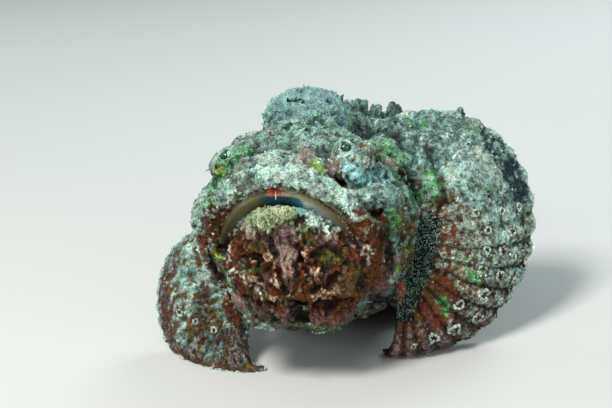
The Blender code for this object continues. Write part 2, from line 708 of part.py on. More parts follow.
def main():
    clear_scene()
    fish = bpy.data.collections.new("stonefish")
    cutters = bpy.data.collections.new("cutters")
    for collection in (fish, cutters):
        bpy.context.scene.collection.children.link(collection)

    body, openings = body_solid(cutters)
    eye_centres = {side: opening - look * EYE_SINK for side, (opening, look) in openings.items()}
    jaw = jaw_solid(cutters)
    jaw_clear_back = place(0, JAW_BACK, 0.08)
    cut_by_plane(jaw, jaw_clear_back, Vector((0, 1, 0)))
    skin = surface_of(body)
    body_clear = swollen(body, GAP, cutters)
    jaw_clear = swollen(jaw, GAP, cutters)
    mouth = mouth_cutter(cutters)
    floor = Vector((0, 0, 0))
    down = Vector((0, 0, -1))

    head = copy_of(body, "head", fish)
    lean = Vector((0, math.cos(HEAD_CUT_LEAN), math.sin(HEAD_CUT_LEAN)))
    neck = place(0, HEAD_CUT, 0.08)
    cut_by_plane(head, neck - lean * GAP / 2, lean)
    subtract(head, jaw_clear)
    subtract(head, mouth)
    for side, eye in eye_centres.items():
        hollow = ellipsoid_mesh(eye, (EYE_RADIUS + GAP,) * 3, EYE_SEGMENTS)
        socket = new_object(f"socket_{side}", hollow, cutters)
        subtract(head, socket)

    torso = copy_of(body, "torso", fish)
    cut_by_plane(torso, neck + lean * GAP / 2, -lean)
    stalk_at = place(0, TAIL_CUT, 0.05)
    cut_by_plane(torso, stalk_at - Vector((0, GAP / 2, 0)), Vector((0, 1, 0)))
    cut_by_plane(torso, floor, down)
    stalk = copy_of(body, "tail_stalk", fish)
    cut_by_plane(stalk, stalk_at + Vector((0, GAP / 2, 0)), Vector((0, -1, 0)))

    lower_jaw = copy_of(jaw, "lower_jaw", fish)
    fins = [
        pectoral("left", fish),
        pectoral("right", fish),
        pelvic("left", fish),
        pelvic("right", fish),
        dorsal(skin, fish),
        soft_dorsal(skin, fish),
        caudal(fish),
        anal(skin, fish),
    ]
    for fin in fins:
        solver = SPINE_SOLVER if fin.name == "dorsal_fin_spines" else "EXACT"
        subtract(fin, body_clear, solver)
        subtract(fin, jaw_clear, solver)
    eyes = [
        new_object(f"eye_{side}", ellipsoid_mesh(eye, (EYE_RADIUS,) * 3, EYE_SEGMENTS), fish)
        for side, eye in eye_centres.items()
    ]
    nodes = []
    for obj in [head, torso, stalk, lower_jaw, *fins, *eyes]:
        done = baked(obj, obj.name, fish)
        largest_piece(done)
        nodes.append(done)
    for obj in nodes:
        if min(vert.co.z for vert in obj.data.vertices) < 0:
            cut_by_plane(obj, floor, down)
            largest_piece(obj)
    for name, color, members in (
        ("skin", (0.42, 0.36, 0.30), nodes[:-2]),
        ("eye", (0.05, 0.10, 0.07), nodes[-2:]),
    ):
        material = finish_flesh(color, name)
        for obj in members:
            obj.data.materials.clear()
            obj.data.materials.append(material)
    for obj in list(cutters.objects):
        obj.hide_render = True
        obj.display_type = "WIRE"


main()
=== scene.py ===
import math
from contextlib import contextmanager

import bpy
import numpy as np
from mathutils import Matrix, Vector
from mathutils.bvhtree import BVHTree
from mathutils.kdtree import KDTree


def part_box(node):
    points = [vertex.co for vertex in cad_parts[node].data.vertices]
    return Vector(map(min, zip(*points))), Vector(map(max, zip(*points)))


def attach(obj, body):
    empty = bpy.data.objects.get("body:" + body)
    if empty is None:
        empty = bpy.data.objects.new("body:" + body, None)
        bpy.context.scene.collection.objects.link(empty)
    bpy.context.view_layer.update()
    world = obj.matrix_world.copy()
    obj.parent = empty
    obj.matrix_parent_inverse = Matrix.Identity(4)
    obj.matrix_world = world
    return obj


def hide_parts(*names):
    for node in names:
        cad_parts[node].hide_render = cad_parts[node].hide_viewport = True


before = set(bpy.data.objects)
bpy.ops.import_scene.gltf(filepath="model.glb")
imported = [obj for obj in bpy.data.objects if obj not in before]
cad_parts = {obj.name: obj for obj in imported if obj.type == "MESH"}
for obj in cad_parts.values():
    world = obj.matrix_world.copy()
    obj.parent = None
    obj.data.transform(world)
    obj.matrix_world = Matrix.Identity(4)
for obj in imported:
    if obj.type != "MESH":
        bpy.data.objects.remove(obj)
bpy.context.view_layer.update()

millimetre = 0.001
farAway = 9.0  # further than anything on the fish

# The fish faces -Y with its own left towards +X. A place on it is given as in the solids:
# offset to the left, distance behind the upper lip and height.
body = {
    "mouthToBelly": 0.1350,
    "tailBend": 0.0300,
    "bendStart": 0.0960,
    "length": 0.3040,
}

# The view of the picture, with the middle of the upper lip at its own pixel.
shot = {
    "azimuth": 16.0,
    "elevation": 18.0,
    "roll": 5.5,
    "distance": 0.86,
    "lens": 94.0,
    "sensor": 36.0,
    "lip": (0.0, -0.135, 0.1204),
    "lipPixel": (272.0, 193.0),
    "picture": (612.0, 408.0),
}


def bend(back):
    share = np.maximum(0.0, back - body["bendStart"]) / (body["length"] - body["bendStart"])
    return body["tailBend"] * share * share


def place(x, back, height):
    return np.array((x + bend(back), back - body["mouthToBelly"], height))


def backOf(points):
    return points[:, 1] + body["mouthToBelly"]


# Objects, meshes and modifiers


def selectOnly(*pieces):
    bpy.ops.object.select_all(action="DESELECT")
    for piece in pieces:
        piece.select_set(True)
    if pieces:
        bpy.context.view_layer.objects.active = pieces[0]


@contextmanager
def editing(piece, action="SELECT"):
    selectOnly(piece)
    bpy.ops.object.mode_set(mode="EDIT")
    bpy.ops.mesh.select_all(action=action)
    yield
    bpy.ops.object.mode_set(mode="OBJECT")


def modify(piece, kind, **settings):
    selectOnly(piece)
    modifier = piece.modifiers.new(kind.title(), kind)
    for setting, value in settings.items():
        setattr(modifier, setting, value)
    bpy.ops.object.modifier_apply(modifier=modifier.name)


def joined(pieces, name):
    selectOnly(*pieces)
    bpy.ops.object.join()
    piece = bpy.context.object
    piece.name = piece.data.name = name
    return piece


def settle(piece, spot, look):
    # turns a piece to look along a line from its spot, all within its mesh
    piece.matrix_world = Matrix.Translation(spot) @ look.to_track_quat("Z", "Y").to_matrix().to_4x4()
    selectOnly(piece)
    bpy.ops.object.transform_apply(location=True, rotation=True, scale=True)
    return piece


def newPiece(name, mesh):
    piece = bpy.data.objects.new(name, mesh)
    bpy.context.scene.collection.objects.link(piece)
    return piece


def meshPiece(name, points, faces):
    mesh = bpy.data.meshes.new(name)
    mesh.from_pydata(points, [], faces)
    mesh.shade_smooth()
    return newPiece(name, mesh)


def columns(items, name, width, kind=np.float32):
    values = np.empty(len(items) * width, kind)
    items.foreach_get(name, values)
    return values.reshape(-1, width)


def pointsOf(piece):
    return columns(piece.data.vertices, "co", 3).astype(float)


def setPoints(piece, points):
    piece.data.vertices.foreach_set("co", points.astype(np.float32).ravel())
    piece.data.update()


def normalsOf(piece):
    return columns(piece.data.vertex_normals, "vector", 3).astype(float)


def edgesOf(piece):
    return columns(piece.data.edges, "vertices", 2, np.int32)


def trianglesOf(piece):
    piece.data.calc_loop_triangles()
    return columns(piece.data.loop_triangles, "vertices", 3, np.int32)


def cornersOf(piece):
    return columns(piece.data.loops, "vertex_index", 1, np.int32)[:, 0]


def surfaceOf(piece):
    return BVHTree.FromObject(piece, bpy.context.evaluated_depsgraph_get())


def relax(piece, rounds, steps=(0.5, -0.53)):
    # the piece's points with its facets smoothed away; the second step keeps the form from shrinking
    points, edges = pointsOf(piece), edgesOf(piece)
    count = np.bincount(edges.ravel(), minlength=len(points))[:, None].clip(1)
    for step in range(2 * rounds):
        total = np.zeros_like(points)
        for axis in range(3):
            for near, far in (edges.T, edges.T[::-1]):
                total[:, axis] += np.bincount(near, points[far, axis], len(points))
        points = points + steps[step % 2] * (total / count - points)
    return points


def largestShell(piece):
    # keeps the biggest of the loose shells
    first, second = edgesOf(piece).T
    label = np.arange(len(piece.data.vertices))
    while True:
        low = np.minimum(label[first], label[second])
        new = label.copy()
        np.minimum.at(new, first, low)
        np.minimum.at(new, second, low)
        new = new[new]
        if (new == label).all():
            break
        label = new
    with editing(piece, "DESELECT"):
        bpy.ops.object.mode_set(mode="OBJECT")
        piece.data.vertices.foreach_set("select", label != np.bincount(label).argmax())
        bpy.ops.object.mode_set(mode="EDIT")
        bpy.ops.mesh.select_mode(type="VERT")
        bpy.ops.mesh.delete(type="VERT")


# Sums that come back everywhere


def ease(low, high, value):
    share = np.clip((value - low) / (high - low), 0, 1)
    return share * share * (3 - 2 * share)


def partWay(span, share):
    return span[0] + (span[1] - span[0]) * share


def mixed(first, second, share):
    return first * (1 - share) + second * share


def lengths(vectors):
    return np.linalg.norm(vectors, axis=1)


def unit(vectors):
    return vectors / np.maximum(lengths(vectors), 1e-9)[:, None]


def flatTo(vectors, normals):
    return unit(vectors - (vectors * normals).sum(1)[:, None] * normals)


def rayWave(phase):
    # 1 on a fin's ray and 0 between two of them
    return 0.5 - 0.5 * np.cos(2 * math.pi * phase)


# Noise, the same each run


def scrambled(cells, seed):
    mixture = cells[..., 0] * 73856093 ^ cells[..., 1] * 19349663 ^ cells[..., 2] * 83492791
    mixture = (mixture + seed * 40503 + 977) & 0xFFFFFFFF
    for shift, factor in ((15, 2246822519), (13, 3266489917)):
        mixture = ((mixture ^ mixture >> shift) * factor) & 0xFFFFFFFF
    return (mixture ^ mixture >> 16) / 4294967295.0


def cloud(points, size, seed=0):
    # smooth noise from 0 to 1
    at = points / size + 97.3
    cell = np.floor(at).astype(np.int64)
    part = at - cell
    part = part * part * (3 - 2 * part)
    total = np.zeros(len(points))
    for corner in range(8):
        step = np.array((corner & 1, corner >> 1 & 1, corner >> 2 & 1))
        total += np.where(step, part, 1 - part).prod(axis=1) * scrambled(cell + step, seed)
    return total


def clouds(points, size, seed=0, layers=3):
    # layered noise from -1 to 1
    total, whole, share = 0.0, 0.0, 1.0
    for layer in range(layers):
        total = total + share * (2 * cloud(points, size / 2**layer, seed + 7 * layer) - 1)
        whole += share
        share *= 0.6
    return total / whole


def beads(points, size, seed=0):
    # distance to the nearest of many scattered points, in units of size, and that point's own number
    at = points / size + 41.7
    cell = np.floor(at).astype(np.int64)
    nearest = np.full(len(points), farAway)
    number = np.zeros(len(points))
    for step in np.ndindex(3, 3, 3):
        near = cell + step - 1
        jitter = np.stack([scrambled(near, seed + axis) for axis in (1, 2, 3)], axis=1)
        away = lengths(near + jitter - at)
        closer = away < nearest
        nearest[closer] = away[closer]
        number[closer] = scrambled(near[closer], seed + 4)
    return nearest, number


def dome(points, size, seed, radius, least=0.0):
    # rounded bumps, each of its own height, where its number is above the least one
    away, number = beads(points, size, seed)
    height = np.clip((number - least) / (1 - least), 0, 1)
    return height * np.clip(1 - (away / radius) ** 2, 0, None) ** 1.2


def billow(points, size, seed):
    # rounded lumps with creases between them
    return 2 * np.abs(clouds(points, size, seed, 2)) - 0.35


def creases(points, size, seed, steep, stretch):
    return (1 - steep * np.abs(clouds(points * stretch, size, seed, 2))).clip(0)


# Camera, so that a pixel of the picture can be followed on to the fish


def aimCamera():
    turn, lift, roll = (math.radians(shot[key]) for key in ("azimuth", "elevation", "roll"))
    back = Vector((math.sin(turn) * math.cos(lift), -math.cos(turn) * math.cos(lift), math.sin(lift)))
    side = Vector((math.cos(turn), math.sin(turn), 0))
    rise = back.cross(side)
    right = side * math.cos(roll) - rise * math.sin(roll)
    up = rise * math.cos(roll) + side * math.sin(roll)
    wide, high = shot["picture"]
    pixel = shot["distance"] * shot["sensor"] / shot["lens"] / wide
    across, down = shot["lipPixel"]
    stand = Vector(shot["lip"]) + back * shot["distance"]
    stand -= right * (across - wide / 2) * pixel + up * (high / 2 - down) * pixel
    bpy.ops.object.camera_add()
    camera = bpy.context.object
    camera.name = "camera"
    camera.data.lens = shot["lens"]
    camera.data.sensor_width = shot["sensor"]
    camera.data.clip_start = 0.01
    camera.matrix_world = Matrix.Translation(stand) @ Matrix((right, up, back)).transposed().to_4x4()
    bpy.context.scene.camera = camera
    return stand, right, up, back


stand, viewRight, viewUp, viewBack = aimCamera()


def seenAt(surface, across, down):
    # the place on the fish that the picture shows at a pixel, and the way it faces
    wide, high = shot["picture"]
    sight = viewRight * (across - wide / 2) + viewUp * (high / 2 - down)
    sight -= viewBack * (shot["lens"] / shot["sensor"] * wide)
    return surface.ray_cast(stand, sight.normalized())[:2]


def followPixels(surface, pixels):
    # pixels are across and down by turns
    spots = [seenAt(surface, across, down)[0] for across, down in zip(pixels[::2], pixels[1::2])]
    return [np.array(spot) for spot in spots if spot is not None]


def awayFromPath(points, path):
    nearest = np.full(len(points), farAway)
    for start, end in zip(path, path[1:] if len(path) > 1 else path):
        along = end - start
        share = np.clip((points - start) @ along / max(along @ along, 1e-12), 0, 1)
        nearest = np.minimum(nearest, lengths(points - start - share[:, None] * along))
    return nearest


print("camera set")

# The skin starts as the solids of the flesh, melted together

flesh = {
    "nodes": ("head", "torso", "tail_stalk", "lower_jaw"),
    "merge": 0.000005,
    "swell": 0.00025,  # closes the cuts between the nodes
    "sink": 0.0010,  # the coat's depth, by which the skin lies inside the solids
    "firstVoxel": 0.0016,
    "facetRounds": 12,
    "voxel": 0.00088,
    "triangles": 197000,
    "rear": -0.02,  # behind this the skin has fewer and larger triangles
    "rearThinning": 0.62,
    "lowest": 0.00005,
}


def copyOfNode(name):
    piece = newPiece("copy_" + name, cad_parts[name].data.copy())
    with editing(piece):
        bpy.ops.mesh.remove_doubles(threshold=flesh["merge"])
    modify(piece, "DISPLACE", strength=flesh["swell"], mid_level=0.0)
    return piece


def meltFlesh():
    piece = joined([copyOfNode(name) for name in flesh["nodes"]], "skin")
    piece.data.materials.clear()
    modify(piece, "REMESH", mode="VOXEL", voxel_size=flesh["firstVoxel"])
    largestShell(piece)
    setPoints(piece, relax(piece, flesh["facetRounds"]))
    setPoints(piece, pointsOf(piece) - normalsOf(piece) * flesh["sink"])
    return piece


skin = meltFlesh()
print("flesh melted", len(skin.data.vertices))

# Fins, from the same rules as the solids and with many more points

pectorals = {
    "left": {
        "sign": 1, "root": (0.0499, 0.0843, 0.0688), "sweep": 18, "angles": (104, -96),
        "reach": (0.0615, 0.0820, 0.0812), "cup": 0.0172, "curl": 0.0155, "lean": 0.42,
        "ridges": (0.35, 0.62),  # its rays show from here down to here, across the fin
    },
    "right": {
        "sign": -1, "root": (-0.0430, 0.0740, 0.0516), "sweep": 16, "angles": (34, -106),
        "reach": (0.0300, 0.0768, 0.0730), "cup": 0.0138, "curl": 0.0034, "lean": 0.55,
        "ridges": (0.30, 0.80),
    },
}
fins = {
    # thickness at the root, at the edge and added on a ray
    "pectoral": {"rays": 19, "thick": (0.0084, 0.0027, 0.0022)},
    "pelvic": {
        "rays": 6, "root": (0.0224, 0.0990, 0.0007), "angles": (118, 22), "reach": (0.0040, 0.0440),
        "rise": 0.0258, "notch": 0.055,
    },
    "dorsal": {
        "rays": 13, "span": (0.1050, 0.2240), "heights": (0.0026, 0.0118), "root": 0.0105, "side": 1,
        "sway": (0.0017, 31, 1.0), "rake": 1.0, "wave": (0.0013, 23), "between": 0.45,
        "thick": (0.0046, 0.0026, 0.0052),
        "uneven": (0, 0.24, 0.05, 0.30, 0, 0.16, 0.02, 0.26, 0.08, 0, 0.22, 0.05, 0.18),
    },
    "soft": {
        "rays": 7, "span": (0.2285, 0.2740), "height": 0.0150, "fall": 0.35, "root": 0.0088, "side": 1,
        "sway": (0.0013, 9, 0.0), "rake": 0.9, "notch": 0.08,
    },
    "tail": {
        "rays": 12, "root": 0.0088, "at": (0.0, 0.2945, 0.0405), "spread": 47, "reach": 0.0580,
        "heights": (0.0170, 0.0450), "swing": 16, "notch": 0.035, "ripple": (0.0034, 0.0013, 12),
    },
    "anal": {
        "rays": 8, "span": (0.2050, 0.2600), "depths": (0.0150, 0.0205), "root": 0.0088, "side": -1,
        "sway": (0.0017, 0, math.pi / 2), "rake": 0.6, "notch": 0.055,
    },
    "thinThick": (0.0046, 0.0023, 0.0012),
    "floorEase": 0.0026,
    "lift": 0.0014,
    "scallop": 0.026,
    "base": (0.0103, 0.0292),
    "skinNear": (0.0042, 0.0075),  # from a fin's middle surface to where the skin is no longer fin
    "rootFade": (0.05, 0.24),
    "raysElsewhere": 0.45,
}
finSheets = []  # middle surfaces, as (points, across, out) for the later markings


def onTheFloor(height):
    over = (height - fins["lift"]) / fins["floorEase"]
    return fins["lift"] + fins["floorEase"] * np.logaddexp(0, over)


def notched(size, v, ray):
    return 1 - size["notch"] * (1 - ray) * v**4


def makeFin(name, size, rule, across=8, rows=40, ridges=None):
    rays = size["rays"]
    selectOnly()
    bpy.ops.mesh.primitive_grid_add(x_subdivisions=rays * across, y_subdivisions=rows, size=1)
    piece = bpy.context.object
    piece.name = name
    u, v = pointsOf(piece)[:, :2].T + 0.5
    ray = rayWave(u * rays)
    points = rule(u, v, ray)
    setPoints(piece, points)
    shown = ray if ridges is None else 0.5 + (ray - 0.5) * (0.15 + 0.85 * ease(*ridges, u))
    thick = size.get("thick", fins["thinThick"])
    wall = partWay(thick, v**0.7) + thick[2] * (1 - (1 - shown) ** 2) * (1 - 0.45 * v)
    group = piece.vertex_groups.new(name="thick")
    for index, share in enumerate(wall / wall.max()):
        group.add([index], share, "REPLACE")
    modify(piece, "SOLIDIFY", thickness=float(wall.max()), offset=0.0, vertex_group="thick",
           use_even_offset=False, use_rim=True)
    finSheets.append((points, u * rays, v))
    return piece


def pectoralRule(side):
    size = pectorals[side]
    sweep, sign = math.radians(size["sweep"]), size["sign"]
    out = np.array((sign * math.cos(sweep), math.sin(sweep), 0.0))
    front = np.array((sign * math.sin(sweep), -math.cos(sweep), 0.0))
    up = np.array(Vector((0.0, size["lean"], 1.0)).normalized())
    top, middle, low = size["reach"]

    def rule(u, v, ray):
        angle = np.radians(partWay(size["angles"], 1 - (1 - u) ** 1.15))
        reach = (1 - u) * (1 - 2 * u) * top + 4 * u * (1 - u) * middle + u * (2 * u - 1) * low
        reach = reach * (1 - fins["scallop"] * (1 - ray) ** 1.5 * v**5)
        along, high = (partWay((base, reach), v) for base in fins["base"])
        bulge = size["cup"] * np.sin(math.pi * (0.12 + 0.8 * v)) - size["curl"] * v**2.5
        points = place(*size["root"]) + np.outer(along * np.cos(angle), out)
        points += np.outer(high * np.sin(angle), up)
        points += np.outer(bulge, front)
        points[:, 2] = onTheFloor(points[:, 2])
        return points

    return rule


def pelvicRule(sign):
    size = fins["pelvic"]
    x, back, height = size["root"]

    def rule(u, v, ray):
        angle = np.radians(partWay(size["angles"], u))
        start, end = size["reach"]
        away = partWay((start, end * notched(size, v, ray)), v)
        steps = (sign * np.cos(angle) * away, np.sin(angle) * away, size["rise"] * (1 - v) ** 2)
        return place(sign * x, back, height) + np.stack(steps, axis=1)

    return rule


def alongBody(surface, side, span):
    # heights of the skin's middle line, on the back or the belly, smoothed
    backs = np.linspace(*span, 60)
    hits = [surface.ray_cast(Vector(place(0.0, back, 0.4 * side)), Vector((0, 0, -side))) for back in backs]
    window = np.hanning(11)
    heights = np.pad([hit[0].z for hit in hits], 5, mode="edge")
    even = np.convolve(heights, window / window.sum(), mode="valid")
    return lambda back: np.interp(back, backs, even)


def middleRule(surface, name, tallOf):
    # a fin that stands on the middle of the back or hangs from the belly
    size = fins[name]
    line = alongBody(surface, size["side"], size["span"])
    sway, waves, start = size["sway"]

    def rule(u, v, ray):
        rise = (tallOf(size, u, v, ray) + size["root"]) * v - size["root"]
        back = partWay(size["span"], u)
        aside = sway * np.sin(waves * u + start) * v
        return place(aside, back + size["rake"] * rise.clip(0), line(back) + size["side"] * rise).T

    return rule


def dorsalTall(size, u, v, ray):
    tall = partWay(size["heights"], np.sin(math.pi * (0.04 + 0.75 * u)))
    spine = np.floor(u * size["rays"]).clip(0, size["rays"] - 1).astype(int)
    tall *= 1 - np.array(size["uneven"])[spine]
    wave, waves = size["wave"]
    return (tall + wave * np.sin(waves * u)) * (size["between"] + (1 - size["between"]) * ray)


def softTall(size, u, v, ray):
    return size["height"] * (1 - size["fall"] * u) * notched(size, v, ray)


def analTall(size, u, v, ray):
    return partWay(size["depths"], np.sin(math.pi * u)) * notched(size, v, ray)


def tailRule(u, v, ray):
    size = fins["tail"]
    wide, small, waves = size["ripple"]
    angle = np.radians(size["spread"] * (1 - 2 * u))
    reach = size["reach"] * notched(size, v, ray) + size["root"]
    along = reach * v * (0.75 + 0.25 * np.cos(angle)) - size["root"]
    ripple = wide * v * v + small * np.sin(waves * u) * v
    turn = -math.radians(size["swing"])
    x = ripple * math.cos(turn) - along * math.sin(turn)
    y = ripple * math.sin(turn) + along * math.cos(turn)
    return place(*size["at"]) + np.stack((x, y, partWay(size["heights"], v) * np.sin(angle)), axis=1)


def growFins():
    surface = surfaceOf(skin)
    sides = pectorals.items()
    grown = [makeFin("pectoral_" + side, fins["pectoral"], pectoralRule(side), rows=64, ridges=size["ridges"])
             for side, size in sides]
    grown += [makeFin("pelvic_" + side, fins["pelvic"], pelvicRule(size["sign"])) for side, size in sides]
    grown.append(makeFin("dorsal", fins["dorsal"], middleRule(surface, "dorsal", dorsalTall), across=12))
    grown.append(makeFin("soft", fins["soft"], middleRule(surface, "soft", softTall)))
    grown.append(makeFin("tail", fins["tail"], tailRule))
    grown.append(makeFin("anal", fins["anal"], middleRule(surface, "anal", analTall)))
    return grown


# Eyes: where they sit comes from the frame's own eye solids

eyes = {
    "look": (0.42, -0.62, 0.66),  # the left eye's gaze
    "lidRadius": 0.0047,
    "lidThick": 0.0016,
    "lidForward": 0.0018,
    "lidWave": 0.0012,
    "narrow": 0.66,  # the lids' width for their height
}


def eyeSeats():
    seats = {}
    for side, size in pectorals.items():
        low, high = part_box("eye_" + side)
        look = Vector(eyes["look"])
        look.x *= size["sign"]
        seats[side] = ((low + high) / 2, (high.x - low.x) / 2, look.normalized())
    return seats


seats = eyeSeats()


def awayFromEyes(points):
    return np.minimum(*(lengths(points - np.array(seat[0])) for seat in seats.values()))


def makeLid(side):
    centre, radius, look = seats[side]
    selectOnly()
    bpy.ops.mesh.primitive_torus_add(major_radius=eyes["lidRadius"], minor_radius=eyes["lidThick"],
                                     major_segments=40, minor_segments=14)
    lid = bpy.context.object
    lid.name = "lid_" + side
    points = pointsOf(lid)
    points[:, 0] *= eyes["narrow"]
    points[:, 2] += eyes["lidWave"] * np.sin(3 * np.arctan2(points[:, 1], points[:, 0]))
    setPoints(lid, points)
    return settle(lid, centre + look * eyes["lidForward"], look)


lids = [makeLid(side) for side in seats]
skin = joined([skin] + growFins() + lids, "skin")
modify(skin, "REMESH", mode="VOXEL", voxel_size=flesh["voxel"])
largestShell(skin)
setPoints(skin, relax(skin, 2))
print("fins and lids grown", len(skin.data.vertices))

# Forms that the picture shows, each drawn by its pixels and pressed into the skin: radius and height
# in mm, then the pixels of its line, across and down by turns

carving = {
    "chin furrow right": (2.6, -2.6, 271, 236, 274, 252, 276, 262, 281, 277, 284, 293),
    "chin furrow left": (2.6, -2.6, 297, 243, 301, 260, 306, 276, 313, 283, 318, 292),
    "chin ridge": (5.5, 1.0, 284, 236, 288, 262, 290, 284), "lobe a": (4.0, 1.5, 275, 283, 277, 301),
    "lobe b": (4.5, 1.2, 267, 257, 263, 245), "lobe c": (3.5, 1.3, 306, 252, 311, 249),
    "lobe d": (4.5, 1.7, 314, 275, 318, 271), "lobe e": (4.5, 1.5, 325, 296, 338, 292),
    "lobe f": (6.0, 1.0, 345, 247, 352, 262), "lobe g": (6.0, 1.2, 246, 290, 258, 297),
    "jaw crease a": (2.4, -2.0, 241, 259, 252, 257, 263, 259),
    "jaw crease b": (2.6, -1.8, 244, 263, 258, 275, 269, 289),
    "jaw ridge a": (3.0, 1.2, 248, 262, 261, 274, 272, 282),
    "jaw crease c": (2.5, -1.6, 308, 258, 322, 251, 334, 243),
    "jaw crease d": (2.6, -1.6, 318, 287, 332, 283, 344, 270),
    "jaw crease e": (2.4, -1.5, 346, 240, 352, 254, 356, 266),
    "under jaw": (3.2, -2.4, 258, 305, 280, 304, 305, 307, 330, 304, 352, 300),
    "flap right": (6.0, 1.6, 262, 313, 282, 315), "flap left": (7.0, 1.6, 322, 319, 348, 315),
    "between flaps": (4.5, -2.4, 299, 305, 302, 320), "cheek lump": (7.5, 2.8, 358, 197, 372, 192, 392, 198),
    "cheek notch": (4.6, -4.2, 374, 212, 380, 214),
    "cheek fold": (4.0, -1.9, 384, 214, 390, 235, 388, 258, 378, 280),
    "cheek ridge": (5.0, 1.3, 401, 214, 404, 235, 396, 262, 386, 285),
    "eye pit": (4.0, -4.0, 341, 183, 343, 187), "under eye": (4.0, -2.0, 352, 172, 372, 170, 386, 176),
    "blue pad": (5.0, 1.4, 356, 178, 374, 179), "brow blob": (5.0, 1.8, 307, 155, 307, 159),
    "right pad": (6.0, 1.8, 243, 163, 241, 180), "right pad edge": (3.0, -2.2, 231, 163, 232, 180),
    "hump crease": (2.6, -1.6, 285, 101, 295, 100, 303, 102),
    "brow line": (4.5, 1.8, 330, 124, 352, 120, 378, 124, 404, 131, 427, 142),
    "brow trough": (4.5, -1.6, 300, 141, 318, 134, 336, 133),
    "gill edge": (4.6, -3.2, 427, 144, 433, 162, 441, 180, 447, 200),
    "gill edge low": (6.0, -2.2, 440, 205, 431, 226, 421, 250, 408, 276, 393, 300),
    "groove right a": (4.2, -3.0, 200, 224, 205, 242, 212, 264, 222, 282, 236, 297),
    "groove right b": (2.6, -1.8, 223, 254, 226, 270, 236, 290, 251, 302),
    "lip mound": (7.0, 1.0, 262, 172, 290, 168, 316, 172), "crown bump a": (5.5, 1.6, 284, 126, 296, 122),
    "crown bump b": (5.5, 1.6, 320, 112, 328, 118), "crown dip": (3.6, -1.8, 268, 137, 279, 134),
    "crown dip b": (3.2, -1.6, 306, 130, 309, 131), "temple bump": (6.0, 2.0, 364, 150, 374, 147),
    "temple bump b": (6.5, 2.0, 392, 150, 404, 158), "temple dip": (4.6, -2.2, 380, 160, 388, 166),
}

lips = {
    "spread": math.radians(108),
    "halfWidth": 0.0473,
    "rise": 0.0499,
    "centre": (0.0086, 0.0774),
    "setback": 0.0172,
    "inward": 0.0485,  # from the arch to the middle of the mouth
    "jawEdge": (0.0075, 0.0105),  # inside the arch
    "jawEnd": (0.062, 0.050),  # behind the lip
}
strokes = {
    "depth": 1.35,
    "gutters": ((-0.86, -0.36), (0.36, 0.86)),  # the fold between lip and jaw, on both sides
    "gutterAt": (0.0118, -0.002),
    "gutterWide": 0.0040,
    "gutterDeep": 0.0016,
}


def lipPoint(angle, inset=0.0, behind=0.0):
    share = abs(angle) / lips["spread"]
    back = lips["centre"][0] + lips["setback"] * share**1.6 + behind
    height = lips["centre"][1] + (lips["rise"] - inset) * math.cos(angle)
    return place((lips["halfWidth"] - inset) * math.sin(angle), back, height)


def lipArch(inset, behind, span=(-1.0, 1.0)):
    return [lipPoint(angle * lips["spread"], inset, behind) for angle in np.linspace(*span, 41)]


def insideLips(points):
    # how far inside the arch of the lips a point lies, seen from the front
    across = points[:, 0] / lips["halfWidth"]
    rise = (points[:, 2] - lips["centre"][1]) / lips["rise"]
    return (1 - np.sqrt(across**2 + rise**2)) * lips["inward"]


def isJaw(points):
    return ease(*lips["jawEdge"], insideLips(points)) * ease(*lips["jawEnd"], backOf(points))


def carve(piece):
    # grooves are sharp at the bottom and ridges are round
    surface = surfaceOf(piece)
    points, normals = pointsOf(piece), normalsOf(piece)
    wander = 1 + 0.4 * clouds(points, 0.006, 3, layers=2)
    relief = np.zeros(len(points))
    for radius, height, *pixels in carving.values():
        near = awayFromPath(points, followPixels(surface, pixels)) / (radius * millimetre) * wander
        turn, steep = (1, 1.35) if height < 0 else (2, 1.6)
        relief += strokes["depth"] * height * millimetre * np.clip(1 - near**turn, 0, None) ** steep
    for span in strokes["gutters"]:
        gutter = awayFromPath(points, lipArch(*strokes["gutterAt"], span)) / strokes["gutterWide"]
        relief -= strokes["gutterDeep"] * np.clip(1 - gutter**2, 0, None) * isJaw(points)
    setPoints(piece, points + normals * relief[:, None])


carve(skin)
setPoints(skin, relax(skin, 1))
print("folds carved")

# What each point of the fish belongs to: the fin's ray, how far out along it, and how much it is fin

sheetPoints, sheetPhases, sheetOuts = (np.concatenate(rows) for rows in zip(*finSheets))
sheetFins = np.repeat(np.arange(len(finSheets)), [len(sheet[0]) for sheet in finSheets])
finTree = KDTree(len(sheetPoints))
for number, sheetPoint in enumerate(sheetPoints):
    finTree.insert(sheetPoint, number)
finTree.balance()
leftFin, rightFin, dorsalFin = 0, 1, 4  # places in finSheets


def finPlaces(points):
    near, away = np.array([finTree.find(point)[1:] for point in points]).T
    near = near.astype(int)
    share = (1 - ease(*fins["skinNear"], away)) * ease(*fins["rootFade"], sheetOuts[near])
    return {"phase": sheetPhases[near], "out": sheetOuts[near], "fin": sheetFins[near], "share": share}


def rayShown(onFin):
    # how plainly a fin's rays show
    shown = np.full(len(onFin["fin"]), fins["raysElsewhere"])
    for owner, size in enumerate(pectorals.values()):
        own = onFin["fin"] == owner
        shown[own] = ease(*size["ridges"], onFin["phase"][own] / fins["pectoral"]["rays"])
    return shown


# Roughness of the skin, from broad folds down to pimples

